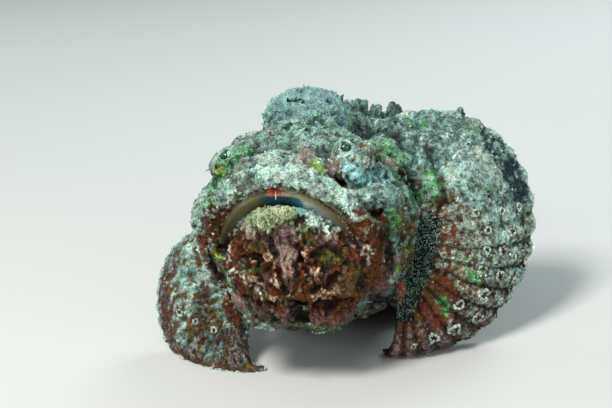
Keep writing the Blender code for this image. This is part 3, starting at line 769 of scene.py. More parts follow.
relief = {  # size, height and seed of each layer
    "folds": (0.0180, 0.0016, 11),
    "lumps": (0.0078, 0.0010, 23),
    "warts": (0.0062, 0.0015, 37),
    "pits": (0.0080, 0.0021, 53),
    "crumbs": (0.0042, 0.0006, 59),
    "pimples": (0.0027, 0.0009, 31),
    "jawFolds": (0.0058, 0.0020, 41),
    "jawWrinkles": (0.0026, 0.0007, 47),
    "grit": (0.0017, 0.00030, 43),
}
evenPlaces = {  # from where, to where the roughness sets in or eases off
    "floor": (0.004, 0.016),
    "eyes": (0.0055, 0.0100),
    "lipLine": (0.0085, 0.0008, 0.0030),  # inside the arch, and then to either side of it
    "lipEnd": (0.045, 0.055),
    "chin": (0.098, 0.106),
    "hump": (0.128, 0.142),
}
bending = {"size": 0.009, "far": 0.0022, "seeds": (5, 6, 7)}  # makes the layers less regular
rays = {"high": 0.0007, "low": 0.0004, "joints": 15, "cut": 0.0003}


def roughen(piece):
    points, normals = pointsOf(piece), normalsOf(piece)
    onFin, jaw = finPlaces(points), isJaw(points)
    isFin = onFin["share"]
    height = points[:, 2]
    chin = jaw * ease(*evenPlaces["chin"], height)
    calm = 1 - 0.68 * isFin * (onFin["fin"] != dorsalFin)
    calm *= 1 - 0.60 * ease(*evenPlaces["hump"], height)
    calm *= 1 - 0.55 * chin
    # the lips' edge, the eyes and what rests on the floor stay even
    inside, *clear = evenPlaces["lipLine"]
    still = ease(*clear, np.abs(insideLips(points) - inside))
    still = np.maximum(still, ease(*evenPlaces["lipEnd"], backOf(points)))
    still *= 0.25 + 0.75 * ease(*evenPlaces["eyes"], awayFromEyes(points))
    still *= 0.1 + 0.9 * ease(*evenPlaces["floor"], height)
    drift = np.stack([clouds(points, bending["size"], seed, 2) for seed in bending["seeds"]], axis=1)
    bent = points + drift * bending["far"]

    def layer(name, form, share, *more, at=bent):
        size, tall, seed = relief[name]
        return tall * form(at, size, seed, *more) * share

    rise = layer("folds", clouds, 1 - isFin, 2)
    rise += layer("lumps", billow, calm * (1 - 0.5 * jaw))
    rise += layer("warts", dome, (1 - isFin) * calm, 0.50, 0.45)
    rise -= layer("pits", dome, (1 - 0.85 * isFin) * (1 - 0.7 * chin), 0.34, 0.35)
    rise += layer("crumbs", dome, 1 - 0.4 * isFin, 0.55, 0.25)
    rise += layer("pimples", dome, 1 - 0.45 * isFin, 0.60, at=points)
    rise -= layer("jawFolds", creases, jaw - 0.8 * chin, 2.4, (1.25, 1, 0.62))
    rise -= layer("jawWrinkles", creases, jaw, 2.6, (1, 1, 0.7))
    rise += layer("grit", clouds, 1.0, 1, at=points)
    joints = np.abs(np.sin(math.pi * (onFin["out"] * rays["joints"] + 0.15 * clouds(points, 0.004, 51, 1))))
    ridge = rays["high"] * (1 - (1 - rayWave(onFin["phase"])) ** 3) - rays["low"]
    rise += isFin * rayShown(onFin) * (ridge - rays["cut"] * (1 - joints) ** 4)
    setPoints(piece, points + normals * (rise * still)[:, None])


def decimate(piece, ratio, **settings):
    modify(piece, "DECIMATE", ratio=ratio, use_collapse_triangulate=True, **settings)


def thinOut(piece):
    # fewer triangles behind, so that the head and the fans keep theirs
    before = len(trianglesOf(piece))
    rear = np.flatnonzero(pointsOf(piece)[:, 1] > flesh["rear"])
    group = piece.vertex_groups.new(name="rear")
    group.add([int(index) for index in rear], 1.0, "REPLACE")
    decimate(piece, 1 - len(rear) / len(piece.data.vertices) * flesh["rearThinning"], vertex_group="rear")
    decimate(piece, min(1.0, flesh["triangles"] / len(trianglesOf(piece))))
    piece.vertex_groups.clear()
    print("skin thinned from", before, "to", len(trianglesOf(piece)))


roughen(skin)
thinOut(skin)
setPoints(skin, np.maximum(pointsOf(skin), (-farAway, -farAway, flesh["lowest"])))
skin.data.shade_smooth()
skinPoints, skinNormals = pointsOf(skin), normalsOf(skin)

# -1 deep in the pits, 1 on the tops of the lumps
hollows = {"rounds": 14, "depth": 0.0007}
skinTall = ((skinPoints - relax(skin, hollows["rounds"], (0.5, 0.5))) * skinNormals).sum(1)
skinTall = np.clip(skinTall / hollows["depth"], -1.5, 1.5)
print("skin roughened")

# Markings, shared by the skin and everything that grows on it. Colours are as seen, from 0 to 255:
# the main one, the one of its flecks, and how much it hides of what is under it.

palette = {
    "turf": ((146, 178, 166), (84, 106, 94), 0.85), "crust": ((182, 208, 197), (130, 148, 132), 0.85),
    "hump": ((134, 172, 168), (98, 126, 122), 1.0), "shade": ((104, 138, 130), (58, 76, 70), 0.80),
    "flank": ((98, 106, 90), (60, 60, 50), 1.0), "belly": ((144, 140, 122), (106, 96, 84), 1.0),
    "algae": ((92, 166, 100), (62, 98, 66), 0.54), "lime": ((136, 166, 60), (92, 116, 48), 0.66),
    "mauve": ((102, 76, 72), (64, 44, 40), 0.75), "lilac": ((138, 120, 122), (92, 74, 76), 1.0),
    "pinkish": ((144, 122, 114), (108, 92, 84), 0.72), "blush": ((164, 138, 124), (112, 88, 78), 1.0),
    "taupe": ((108, 120, 104), (84, 94, 82), 0.75), "rust": ((108, 56, 34), (68, 38, 24), 0.80),
    "ochre": ((98, 78, 44), (66, 50, 28), 0.70), "peach": ((204, 178, 150), (140, 92, 62), 0.62),
    "umber": ((50, 34, 22), (28, 20, 14), 0.85), "flame": ((176, 72, 40), (112, 44, 26), 1.0),
    # first on the next line: painted shadow in the fold between the gill cover and the left pectoral fin
    # second on the next line: painted shade for pits and creases
    "teal": ((18, 28, 28), (28, 40, 38), 1.0), "deep": ((20, 26, 24), (46, 54, 46), 1.0),
    "bluegrey": ((164, 216, 214), (132, 180, 180), 0.85), "dome": ((164, 180, 144), (92, 108, 62), 1.0),
    "jaw": ((94, 52, 20), (50, 26, 10), 1.0), "plum": ((86, 66, 58), (54, 38, 32), 1.0),
    # the dark teal of the left fin's upper margin, second on the next line, is a teal tone with painted shade
    # on it
    "dust": ((156, 174, 158), (96, 88, 68), 0.44), "tealEdge": ((38, 66, 68), (26, 44, 46), 0.74),
    "moss": ((88, 94, 38), (58, 58, 26), 0.62), "frost": ((206, 210, 196), (150, 140, 124), 0.24),
}

# Colour, radius in mm, raggedness, and the pixels of each daub's line, across and down by turns
daubs = [
    ("hump", 19, 0.5, 288, 92, 306, 92, 322, 100), ("hump", 12, 0.6, 290, 112, 318, 112),
    ("shade", 13, 0.6, 350, 112, 376, 110, 396, 114), ("rust", 3.6, 0.6, 265, 136, 269, 139),
    ("rust", 3.2, 0.6, 278, 133, 282, 134), ("rust", 3.0, 0.6, 305, 129, 309, 131),
    # the first daub on the next line is painted shade in the crease of the hump
    ("deep", 1.4, 0.8, 289, 101, 300, 101), ("turf", 13, 0.6, 262, 150, 290, 142, 330, 138),
    ("crust", 11, 0.5, 252, 172, 278, 165, 304, 166, 326, 176),
    ("crust", 4.6, 0.7, 344, 196, 356, 212, 368, 228, 376, 246),
    ("crust", 4.6, 0.7, 228, 206, 220, 222, 214, 240), ("taupe", 7.0, 0.5, 241, 162, 241, 176),
    ("algae", 5.0, 0.8, 216, 182, 212, 196), ("algae", 4.5, 0.9, 222, 168, 246, 150),
    ("turf", 7.0, 0.6, 208, 160, 200, 190, 197, 214), ("lime", 2.2, 0.8, 219, 172, 222, 176),
    ("lime", 3.4, 0.7, 316, 162, 320, 166), ("pinkish", 4.2, 0.3, 306, 152, 308, 158),
    ("pinkish", 4.6, 0.5, 332, 166, 336, 172), ("mauve", 3.2, 0.7, 352, 165, 372, 169),
    # the second daub on the next line is painted shade in the pit below the eye
    ("bluegrey", 5.6, 0.4, 352, 176, 366, 178, 380, 176), ("deep", 3.6, 0.5, 341, 181, 343, 187),
    ("shade", 9.0, 0.6, 362, 200, 380, 196, 400, 202), ("crust", 3.6, 0.9, 352, 194, 366, 194),
    ("umber", 4.0, 0.6, 374, 210, 380, 215), ("rust", 2.4, 0.7, 380, 216, 378, 222),
    ("algae", 6.4, 0.9, 384, 148, 400, 153, 414, 166), ("algae", 4.6, 0.9, 434, 166, 440, 184),
    ("algae", 3.0, 0.9, 371, 139, 381, 142), ("mauve", 5.0, 0.7, 420, 146, 416, 154),
    ("pinkish", 3.6, 0.3, 388, 163, 391, 165), ("umber", 5.0, 0.8, 404, 178, 412, 182, 420, 190),
    # the umber daub on the next line is painted shade in the notch of the gill cover's rear edge
    ("algae", 4.4, 0.7, 424, 186, 424, 198), ("umber", 2.6, 0.6, 427, 143, 430, 152),
    ("ochre", 7.0, 0.8, 402, 216, 410, 232, 404, 250), ("rust", 5.4, 0.8, 378, 250, 384, 268, 380, 284),
    ("mauve", 5.0, 0.6, 388, 262, 384, 284, 372, 302), ("algae", 4.0, 0.7, 392, 216, 394, 232, 390, 244),
    ("lime", 3.6, 0.8, 366, 228, 372, 233), ("algae", 2.6, 0.8, 376, 240, 378, 256),
    # the umber daub on the next line is painted shadow between the cheek and the root of the pectoral fin
    ("ochre", 6.0, 0.8, 414, 252, 408, 268, 398, 282), ("umber", 4.0, 0.9, 382, 236, 388, 248, 390, 260),
    ("lime", 1.8, 0.6, 408, 248, 410, 250), ("lime", 1.8, 0.6, 396, 268, 399, 270),
    ("jaw", 19, 0.3, 240, 236, 262, 250, 290, 262, 330, 258, 352, 246),
    ("jaw", 16, 0.3, 248, 276, 270, 296, 300, 300, 336, 296, 356, 276),
    ("rust", 4.8, 0.8, 231, 250, 233, 270, 241, 286), ("rust", 4.4, 0.8, 347, 246, 352, 262),
    ("ochre", 5.0, 0.8, 262, 250, 256, 242, 270, 252), ("ochre", 6.2, 0.7, 344, 284, 358, 274),
    ("ochre", 5.4, 0.8, 252, 292, 262, 298), ("blush", 5.0, 0.6, 243, 222, 249, 230),
    ("blush", 3.6, 0.8, 322, 240, 332, 238), ("mauve", 4.6, 0.7, 262, 232, 270, 240),
    ("mauve", 4.0, 0.7, 312, 244, 322, 248), ("mauve", 5.0, 0.7, 330, 276, 336, 286),
    ("mauve", 3.6, 0.6, 258, 272, 268, 280), ("umber", 1.8, 0.7, 243, 259, 256, 257, 262, 262),
    ("umber", 2.0, 0.7, 242, 262, 248, 272), ("moss", 4.2, 0.6, 248, 266, 254, 273),
    ("moss", 4.6, 0.6, 324, 257, 336, 256), ("moss", 2.8, 0.8, 304, 234, 307, 242),
    ("ochre", 4.6, 0.8, 345, 280, 352, 270), ("frost", 3.4, 0.9, 244, 268, 252, 282, 262, 292),
    ("frost", 2.6, 0.9, 228, 232, 228, 252, 236, 276), ("frost", 3.4, 0.9, 352, 236, 364, 248, 370, 262),
    ("frost", 2.2, 0.9, 290, 296, 292, 306), ("umber", 2.2, 0.7, 334, 248, 338, 252),
    ("dome", 8.0, 0.5, 252, 218, 262, 211, 284, 208, 298, 216, 276, 223),
    ("crust", 2.6, 0.6, 246, 216, 256, 207, 268, 204), ("crust", 2.6, 0.7, 236, 228, 242, 216),
    ("bluegrey", 2.4, 0.5, 300, 208, 304, 214), ("crust", 4.8, 0.7, 316, 218, 326, 222, 332, 228),
    ("umber", 2.4, 0.7, 294, 222, 302, 218), ("rust", 2.2, 0.8, 358, 212, 366, 226, 372, 242),
    ("rust", 2.2, 0.8, 231, 214, 226, 230, 224, 246), ("rust", 1.5, 0.6, 256, 190, 260, 192),
    ("rust", 1.5, 0.6, 290, 189, 295, 189), ("umber", 1.4, 0.6, 303, 190, 306, 191),
    ("lilac", 6.2, 0.35, 283, 238, 286, 252), ("mauve", 5.0, 0.8, 280, 237, 286, 250),
    ("blush", 5.0, 0.35, 286, 256, 288, 274), ("mauve", 2.6, 0.5, 288, 282, 288, 292),
    ("umber", 1.1, 0.5, 271, 238, 275, 256, 279, 272, 284, 292), ("flame", 0.9, 0.7, 277, 266, 281, 277),
    ("flame", 1.1, 0.7, 300, 252, 303, 264, 306, 274), ("umber", 1.0, 0.5, 304, 268, 309, 278, 315, 288),
    ("peach", 2.6, 0.6, 275, 281, 278, 285), ("peach", 1.6, 0.6, 276, 282, 278, 285),
    ("peach", 3.2, 0.7, 274, 299, 282, 301), ("peach", 1.8, 0.6, 276, 300, 281, 300),
    ("peach", 1.8, 0.8, 250, 277, 262, 284, 270, 288), ("peach", 1.3, 0.7, 244, 260, 254, 261),
    ("peach", 2.0, 0.8, 266, 258, 270, 256), ("peach", 2.0, 0.7, 305, 251, 309, 250),
    ("peach", 3.0, 0.7, 313, 276, 318, 272), ("peach", 3.4, 0.8, 322, 297, 334, 293),
    ("mauve", 5.0, 0.5, 256, 312, 284, 318), ("mauve", 5.0, 0.5, 316, 319, 352, 315),
    ("umber", 4.0, 0.6, 296, 306, 302, 318), ("flame", 1.2, 0.6, 362, 318, 364, 320),
    ("rust", 2.6, 0.7, 204, 236, 208, 256, 216, 274, 230, 294), ("algae", 2.6, 0.8, 222, 240, 220, 226),
    ("lime", 2.0, 0.6, 218, 254, 219, 256), ("pinkish", 4.0, 0.7, 236, 296, 244, 306),
    ("ochre", 3.4, 0.7, 226, 282, 222, 272),
]
daubsOnFins = [
    ("rust", 5.6, 0.8, 448, 204, 455, 218, 447, 236, 444, 262), ("algae", 3.0, 0.8, 414, 122, 420, 124),
    ("algae", 2.6, 0.8, 467, 127, 472, 128), ("algae", 2.6, 0.9, 486, 188, 490, 190),
    ("algae", 5.0, 0.9, 430, 178, 440, 196), ("ochre", 6.0, 0.9, 460, 246, 470, 262, 458, 276),
    ("rust", 4.6, 0.8, 440, 286, 452, 284, 462, 292), ("dust", 7.0, 0.9, 450, 214, 454, 232, 452, 248),
    ("dust", 7.0, 0.9, 468, 220, 472, 246, 470, 268), ("dust", 6.0, 0.9, 448, 262, 462, 278, 470, 288),
    ("algae", 4.0, 0.9, 468, 266, 478, 276), ("ochre", 7.0, 0.6, 396, 320, 414, 310, 432, 298),
    ("rust", 4.6, 0.8, 400, 312, 418, 306, 436, 306, 440, 318), ("algae", 3.2, 0.7, 442, 302, 446, 310),
    # painted shade on the left fin's upper margin, where it turns away from the light, over a teal tone
    ("tealEdge", 6.4, 0.9, 506, 166, 512, 180, 518, 196),
    # the near-black daubs on the next two lines are painted shadow in the fold between the gill cover and the
    # left pectoral fin
    ("teal", 6.4, 0.50, 431, 226, 427, 248, 418, 268, 410, 290, 402, 310),
    ("teal", 4.0, 0.4, 404, 274, 400, 296), ("flame", 4.0, 0.9, 396, 290, 400, 296),
    ("mauve", 3.4, 0.8, 176, 264, 166, 288, 170, 306), ("rust", 6.0, 0.8, 232, 304, 240, 318),
    ("ochre", 4.0, 0.8, 214, 306, 218, 320),
]


def rgb(colour):
    # from a colour as seen to the linear one that the shader takes
    colour = np.asarray(colour, float) / 255
    return np.where(colour < 0.04045, colour / 12.92, ((colour + 0.055) / 1.055) ** 2.4)


tones = {name: (rgb(main), rgb(fleck), cover) for name, (main, fleck, cover) in palette.items()}
bareSurface = surfaceOf(skin)


def placed(entries):
    return [(name, followPixels(bareSurface, pixels), radius * millimetre, ragged)
            for name, radius, ragged, *pixels in entries]


skinDaubs, finDaubs = placed(daubs), placed(daubsOnFins)
fringes = {
    "half": (0.0031, 0.0026),
    "crumb": (0.0011, 0.0023),
    "crumbs": 17,
    "square": 2.6,  # 2 is round, more is squarer
    "gaps": 0.10,
    "seed": 77,
    "ground": 0.0044,
    "rows": ((0.74, 1.0), (0.88, 0.75)),
    "colour": (178, 198, 180),
    # the rings in the picture, each as its pixel and its size
    "seen": (
        (502, 211, 0.70), (476, 213, 0.65), (519, 207, 0.60), (488, 230, 0.80), (512, 232, 0.85),
        (487, 250, 0.70), (503, 251, 1.00), (517, 256, 0.75), (482, 270, 0.80), (500, 276, 0.95),
        (514, 280, 0.60), (484, 295, 1.00), (460, 305, 0.85), (500, 301, 0.65), (477, 318, 1.00),
        (455, 330, 1.05), (433, 338, 0.95), (492, 322, 0.60), (442, 352, 0.60), (414, 346, 0.55),
        (180, 313, 0.75), (196, 322, 0.60), (214, 330, 0.60),
    ),
}
ringSpots = [(*seenAt(bareSurface, across, down), size) for across, down, size in fringes["seen"]]
ringSpots = [(np.array(hit), np.array(lift), size) for hit, lift, size in ringSpots if hit is not None]
speckle = {
    "size": 0.0016,
    "seeds": (151, 157, 163),
    "spread": 1.7,
    "soft": 0.20,
}


def markings(points, normals, onFin, tall):
    # main colour, fleck colour and how much of the fleck shows, at each point
    main, fleck = np.zeros((2, len(points), 3))
    wide = clouds(points, 0.021, 61)
    patch = clouds(points, 0.0095, 67)
    small = clouds(points, 0.0034, 71, 2)
    ragged = 0.55 * patch + 0.75 * small
    dither = [0.5 + speckle["spread"] * (cloud(points, speckle["size"], seed) - 0.5)
              for seed in speckle["seeds"]]

    def lay(name, amount):
        # part of the way, a colour covers some specks and leaves others
        amount = np.clip(amount, 0, 1)
        dither.append(dither.pop(0))
        speck = ease(-speckle["soft"], speckle["soft"], amount - dither[0] * 0.98)
        amount = (ease(0.0, 0.12, amount) * speck)[:, None]
        main[:] = mixed(main, tones[name][0], amount)
        fleck[:] = mixed(fleck, tones[name][1], amount)

    def patches(size, seed, low, high, lean=0.0):
        return ease(low, high, clouds(points, size, seed) + lean + 0.25 * small)

    up, back = normals[:, 2], backOf(points)
    isFin, out = onFin["share"], onFin["out"]
    ray = rayWave(onFin["phase"])
    pectoral = isFin * (onFin["fin"] <= rightFin)
    lay("flank", np.full(len(points), 2.0))
    lay("belly", ease(-0.35, -0.8, up + 0.3 * patch) * ease(0.05, 0.09, back))
    lay("turf", ease(-0.35, 0.35, up + 0.55 * wide + 0.45 * ragged))
    lay("mauve", 0.7 * patches(0.0095, 67, 0.12, 0.34) * ease(0.35, -0.2, up))
    lay("rust", 0.6 * patches(0.012, 83, 0.20, 0.42) * ease(0.5, -0.1, up))
    lay("pinkish", 0.5 * patches(0.010, 89, 0.22, 0.46))
    lay("algae", 0.55 * patches(0.011, 97, 0.20, 0.46, 0.1 * up))
    lay("crust", 0.75 * patches(0.012, 101, 0.08, 0.40, 0.12 * up))
    lay("ochre", 0.5 * patches(0.009, 109, 0.26, 0.46))
    lay("umber", 0.55 * patches(0.006, 103, 0.30, 0.50))
    behind = ease(0.09, 0.14, back) * ease(0.9, 0.3, up)
    lay("mauve", 0.75 * behind * patches(0.034, 223, 0.10, 0.30))
    lay("crust", 0.65 * behind * patches(0.030, 227, 0.06, 0.30))

    # fins: mauve rays, rust towards the root, and crust that is whole above and breaks up below
    left, right = pectoral * (onFin["fin"] == leftFin), pectoral * (onFin["fin"] == rightFin)
    along = onFin["phase"] / fins["pectoral"]["rays"]
    lay("plum", isFin * 1.2)
    lay("ochre", isFin * 0.5 * ease(-0.1, 0.4, patch))
    lay("rust", 0.80 * (left + 0.35 * right) * ease(0.62, 0.18, out + 0.40 * patch))
    lay("umber", pectoral * 0.7 * ease(0.0, 0.5, clouds(points, 0.0075, 179, 2)))
    lowest = np.where(onFin["fin"] == leftFin, 0.49, 0.52)
    covered = ease(0.36, -0.20, along - lowest + 0.26 * patch + 0.24 * small)
    rooted = covered * ease(0.14, 0.44, out + 0.3 * patch + (1.2 * (0.42 - along)).clip(-0.1, 1))
    bands = ease(0.10, 0.45, np.sin(2 * math.pi * (onFin["phase"] + 0.3 * small)) * 0.6 + 0.5 * patch)
    lay("jaw", pectoral * bands * ease(0.7, 0.4, out) * 0.7)
    # lilac on the tops of the rays: partly their own tone and partly painted highlight
    ridgeHighlight = ease(0.35, 0.85, ray + 0.3 * patch) * ease(0.35, 0.60, out)
    lay("lilac", pectoral * ridgeHighlight * (0.3 + 0.35 * along))
    lay("lilac", right * ease(0.0, 0.5, patch) * 0.5)
    lay("turf", pectoral * rooted * 0.92)
    lay("crust", pectoral * rooted * (0.15 + 0.75 * ease(-0.2, 0.3, wide + patch)))
    lay("shade", left * ease(0.30, 0.12, along + 0.1 * patch) * 0.85)
    lay("shade", right * 0.30)
    lay("turf", isFin * (1 - pectoral) * ease(-0.45, 0.25, ragged + 0.6 * up))
    lay("crust", isFin * (onFin["fin"] == dorsalFin) * ease(-0.3, 0.4, ragged + up) * 0.7)
    bars = np.sin(math.pi * (out * 9 + 0.5 * small)) ** 2 * ease(0.25, 0.7, ray) * ease(0.40, 0.62, out)
    lay("crust", pectoral * bars * ease(0.78, 0.55, along) * 0.45 * (1 - 0.7 * covered))
    lay("flank", left * covered * patches(0.0036, 103, 0.16, 0.42) * 0.55)
    away = np.min([lengths(points - spot) / (0.4 + 0.6 * size) for spot, lift, size in ringSpots], axis=0)
    away = away / fringes["ground"] - 0.3 * small
    lay("mauve", pectoral * ease(1.05, 0.70, away) * 0.92)
    lay("jaw", pectoral * ease(0.60, 0.30, away) * 0.6)
    # painted shade on the left fin's upper margin, where it turns away from the light, over a teal tone
    edgeShadeMask = ease(0.72, 0.95, out + 0.3 * patch) * ease(0.20, 0.29, along) * ease(0.50, 0.40, along)
    lay("tealEdge", left * edgeShadeMask * 0.65)
    for entries, share in ((skinDaubs, 1 - pectoral), (finDaubs, 1.0)):
        for name, path, radius, rough in entries:
            inner = 1 - awayFromPath(points, path) / (1.15 * radius)
            amount = ease(-0.34, 0.46, inner + rough * ragged) * (inner > -0.9 * rough)
            lay(name, share * amount * tones[name][2])
    margin = ease(0.60, 0.72, out + 0.12 * patch) * ease(0.96, 0.88, out) * ease(0.10, 0.30, along)
    lay("mauve", right * margin * 0.75)
    netted = ease(0.50, 0.34, beads(points, 0.0070, 211)[0] + 0.10 * small)
    lay("ochre", right * netted * ease(0.10, 0.30, out) * ease(0.92, 0.80, out) * 0.85)
    rim = awayFromPath(points, lipArch(0.0058, 0.0006)) / 0.0026
    lay("rust", (1 - isFin) * ease(1.0, 0.3, rim) * ease(0.42, 0.62, cloud(points, 0.0052, 173)) * 1.2)
    # umber in the grooves between the rays is painted shade
    lay("umber", isFin * 0.6 * ease(0.16, 0.03, ray) * ease(0.30, 0.5, out) * rayShown(onFin))
    lay("crust", pectoral * ease(0.940, 0.975, out + 0.012 * small) * ease(0.15, 0.7, ray) * 0.9)

    # clumps, tints, painted shade in the hollows and painted highlight on the tops of the lumps
    clump = 0.14 * clouds(points, 0.0022, 113, 1) + 0.50 * clouds(points, 0.0056, 127, 2)
    shade = np.exp(clump) * (0.26 + 0.74 * ease(-1.2, 0.25, tall)) * (1 + 0.22 * ease(0.2, 1.2, tall))
    tint = np.outer(clouds(points, 0.0065, 131, 2), (0.16, -0.02, -0.10))
    tint += np.outer(clouds(points, 0.0042, 137, 2), (-0.06, 0.08, -0.04))
    main *= shade[:, None] * np.exp(tint)
    fleck *= shade[:, None] * np.exp(0.6 * tint)
    return main, fleck, 0.26 + 0.36 * small


def colourPiece(piece, **layers):
    for name, values in layers.items():
        layer = piece.data.color_attributes.new(name=name, type="FLOAT_COLOR", domain="POINT")
        values = np.column_stack((values, np.ones(len(values))))
        layer.data.foreach_set("color", values.astype(np.float32).ravel())


skinFin = finPlaces(skinPoints)
skinMain, skinFleck = markings(skinPoints, skinNormals, skinFin, skinTall)[:2]
colourPiece(skin, main=skinMain, fleck=skinFleck)
print("markings laid")

# Shader maths: a socket that can be added, multiplied and so on


class Flow:
    def __init__(self, material, socket):
        self.material = material
        self.socket = socket

    def maths(self, operation, first, second):
        return self.material.add("ShaderNodeMath", {"operation": operation}, {0: first, 1: second})

    def __add__(self, other):
        return self.maths("ADD", self, other)

    def __sub__(self, other):
        return self.maths("SUBTRACT", self, other)

    def __rsub__(self, other):
        return self.maths("SUBTRACT", other, self)

    def __mul__(self, other):
        return self.maths("MULTIPLY", self, other)

    __radd__ = __add__
    __rmul__ = __mul__


class Finish:
    # one material and the nodes in it
    def __init__(self, name, roughness, specular):
        self.material = bpy.data.materials.new(name)
        self.material.use_nodes = True
        self.tree = self.material.node_tree
        self.shader = self.tree.nodes["Principled BSDF"]
        self.shader.inputs["Roughness"].default_value = roughness
        self.shader.inputs["Specular IOR Level"].default_value = specular
        self.place = self.add("ShaderNodeTexCoord", out="Object")

    def add(self, kind, settings=None, sockets=None, out=0):
        node = self.tree.nodes.new(kind)
        for key, value in (settings or {}).items():
            if key == "stops":
                while len(node.color_ramp.elements) < len(value):
                    node.color_ramp.elements.new(1.0)
                for element, (position, colour) in zip(node.color_ramp.elements, value):
                    element.position = position
                    element.color = (*colour, 1.0)
            else:
                setattr(node, key, value)
        for key, value in (sockets or {}).items():
            if isinstance(value, Flow):
                self.tree.links.new(value.socket, node.inputs[key])
            else:
                node.inputs[key].default_value = value
        return Flow(self, node.outputs[out])

    def feed(self, socket, flow):
        self.tree.links.new(flow.socket, self.shader.inputs[socket])

    def noise(self, size, detail=2.0, rough=0.55):
        sockets = {"Vector": self.place, "Scale": 1 / size, "Detail": detail, "Roughness": rough}
        return self.add("ShaderNodeTexNoise", {}, sockets, out="Fac")

    def cells(self, size):
        sockets = {"Vector": self.place, "Scale": 1 / size}
        return self.add("ShaderNodeTexVoronoi", {}, sockets, out="Distance")

    def attribute(self, name):
        return self.add("ShaderNodeAttribute", {"attribute_name": name}, out="Color")

    def across(self, vector):
        return self.add("ShaderNodeSeparateXYZ", {}, {0: vector})

    def between(self, flow, low, high, kind="SMOOTHSTEP"):
        sockets = {"Value": flow, "From Min": low, "From Max": high, "To Min": 0.0, "To Max": 1.0}
        return self.add("ShaderNodeMapRange", {"interpolation_type": kind}, sockets)

    def ramp(self, flow, *stops):
        return self.add("ShaderNodeValToRGB", {"stops": stops}, {0: flow})

    def mix(self, share, first, second):
        return self.add("ShaderNodeMix", {"data_type": "RGBA"}, {0: share, 6: first, 7: second}, out=2)

    def scaled(self, colour, by):
        return self.add("ShaderNodeVectorMath", {"operation": "SCALE"}, {0: colour, "Scale": by})

    def bump(self, height, strength, distance):
        sockets = {"Height": height, "Strength": strength, "Distance": distance}
        self.feed("Normal", self.add("ShaderNodeBump", {}, sockets))


def skinFinish():
    # the markings, broken up by fine flecks, pale grains and dark pores
    finish = Finish("skinFinish", 0.72, 0.14)
    main, fleck = finish.attribute("main"), finish.attribute("fleck")
    fine, broad = finish.noise(0.0011, 3.0, 0.62), finish.noise(0.0030, 2.0, 0.5)
    colour = finish.mix(finish.between(fine + broad * 0.8, 0.82, 1.02), main, fleck)
    pale = finish.between(finish.cells(0.0023), 0.34, 0.14)
    colour = finish.mix(pale * 0.30, colour, finish.scaled(main, 1.7))
    pores = finish.between(finish.noise(0.0017, 2.0, 0.6), 0.42, 0.32)
    finish.feed("Base Color", finish.mix(pores * 0.6, colour, finish.scaled(main, 0.22)))
    finish.feed("Roughness", 0.55 + 0.35 * finish.noise(0.004, 2.0, 0.5))
    finish.bump(fine * 0.6 + (1 - finish.cells(0.0011)) * 0.5 + broad * 0.7, 0.9, 0.0011)
    return finish.material


def coatFinish():
    finish = Finish("coatFinish", 0.78, 0.10)
    shade = 0.72 + 0.56 * finish.noise(0.0009, 2.0, 0.6)
    finish.feed("Base Color", finish.scaled(finish.attribute("main"), shade))
    finish.feed("Roughness", 0.55 + 0.3 * finish.noise(0.002, 1.0, 0.5))
    return finish.material


coatMaterial = coatFinish()
skin.data.materials.clear()
skin.data.materials.append(skinFinish())

# An unwrap of the skin's own shape, for the bake of the coat

unwrap = {
    "triangles": 5000,
    "patch": 0.003,
    "angle": math.radians(60),
    "margin": 0.002,
}


def unwrapSkin():
    sheet = newPiece("unwrap", skin.data.copy())
    decimate(sheet, unwrap["triangles"] / len(trianglesOf(sheet)))
    with editing(sheet):
        bpy.ops.uv.smart_project(angle_limit=unwrap["angle"], island_margin=unwrap["margin"])
    surface = surfaceOf(sheet)
    corners = columns(sheet.data.uv_layers.active.data, "uv", 2).reshape(-1, 3, 2).astype(float)
    places = pointsOf(sheet)[cornersOf(sheet).reshape(-1, 3)]
    bpy.data.objects.remove(sheet)
    return surface, corners, places


unwrapSurface, unwrapCorners, unwrapPlaces = unwrapSkin()


def unwrapped(roots):
    # each root's place on the unwrap, by its weights in the nearest face
    hits = [unwrapSurface.find_nearest(root) for root in roots]
    face = np.array([hit[2] for hit in hits])
    at = np.array([hit[0] for hit in hits])
    first, second, third = unwrapPlaces[face].transpose(1, 0, 2)
    side, other, inner = second - first, third - first, at - first
    pairs = ((side, side), (side, other), (other, other), (inner, side), (inner, other))
    ss, so, oo, si, oi = ((a * b).sum(1) for a, b in pairs)
    below = np.maximum(ss * oo - so**2, 1e-20)
    b = np.clip((oo * si - so * oi) / below, 0, 1)
    c = np.clip((ss * oi - so * si) / below, 0, 1)
    return (unwrapCorners[face] * np.stack((1 - b - c, b, c), axis=1)[:, :, None]).sum(1)


def addMap(piece, name, uv):
    # a UV map from one value a vertex
    layer = piece.data.uv_layers.new(name=name)
    layer.data.foreach_set("uv", uv[cornersOf(piece)].astype(np.float32).ravel())


print("skin unwrapped")

# The smooth lining inside the upper lip

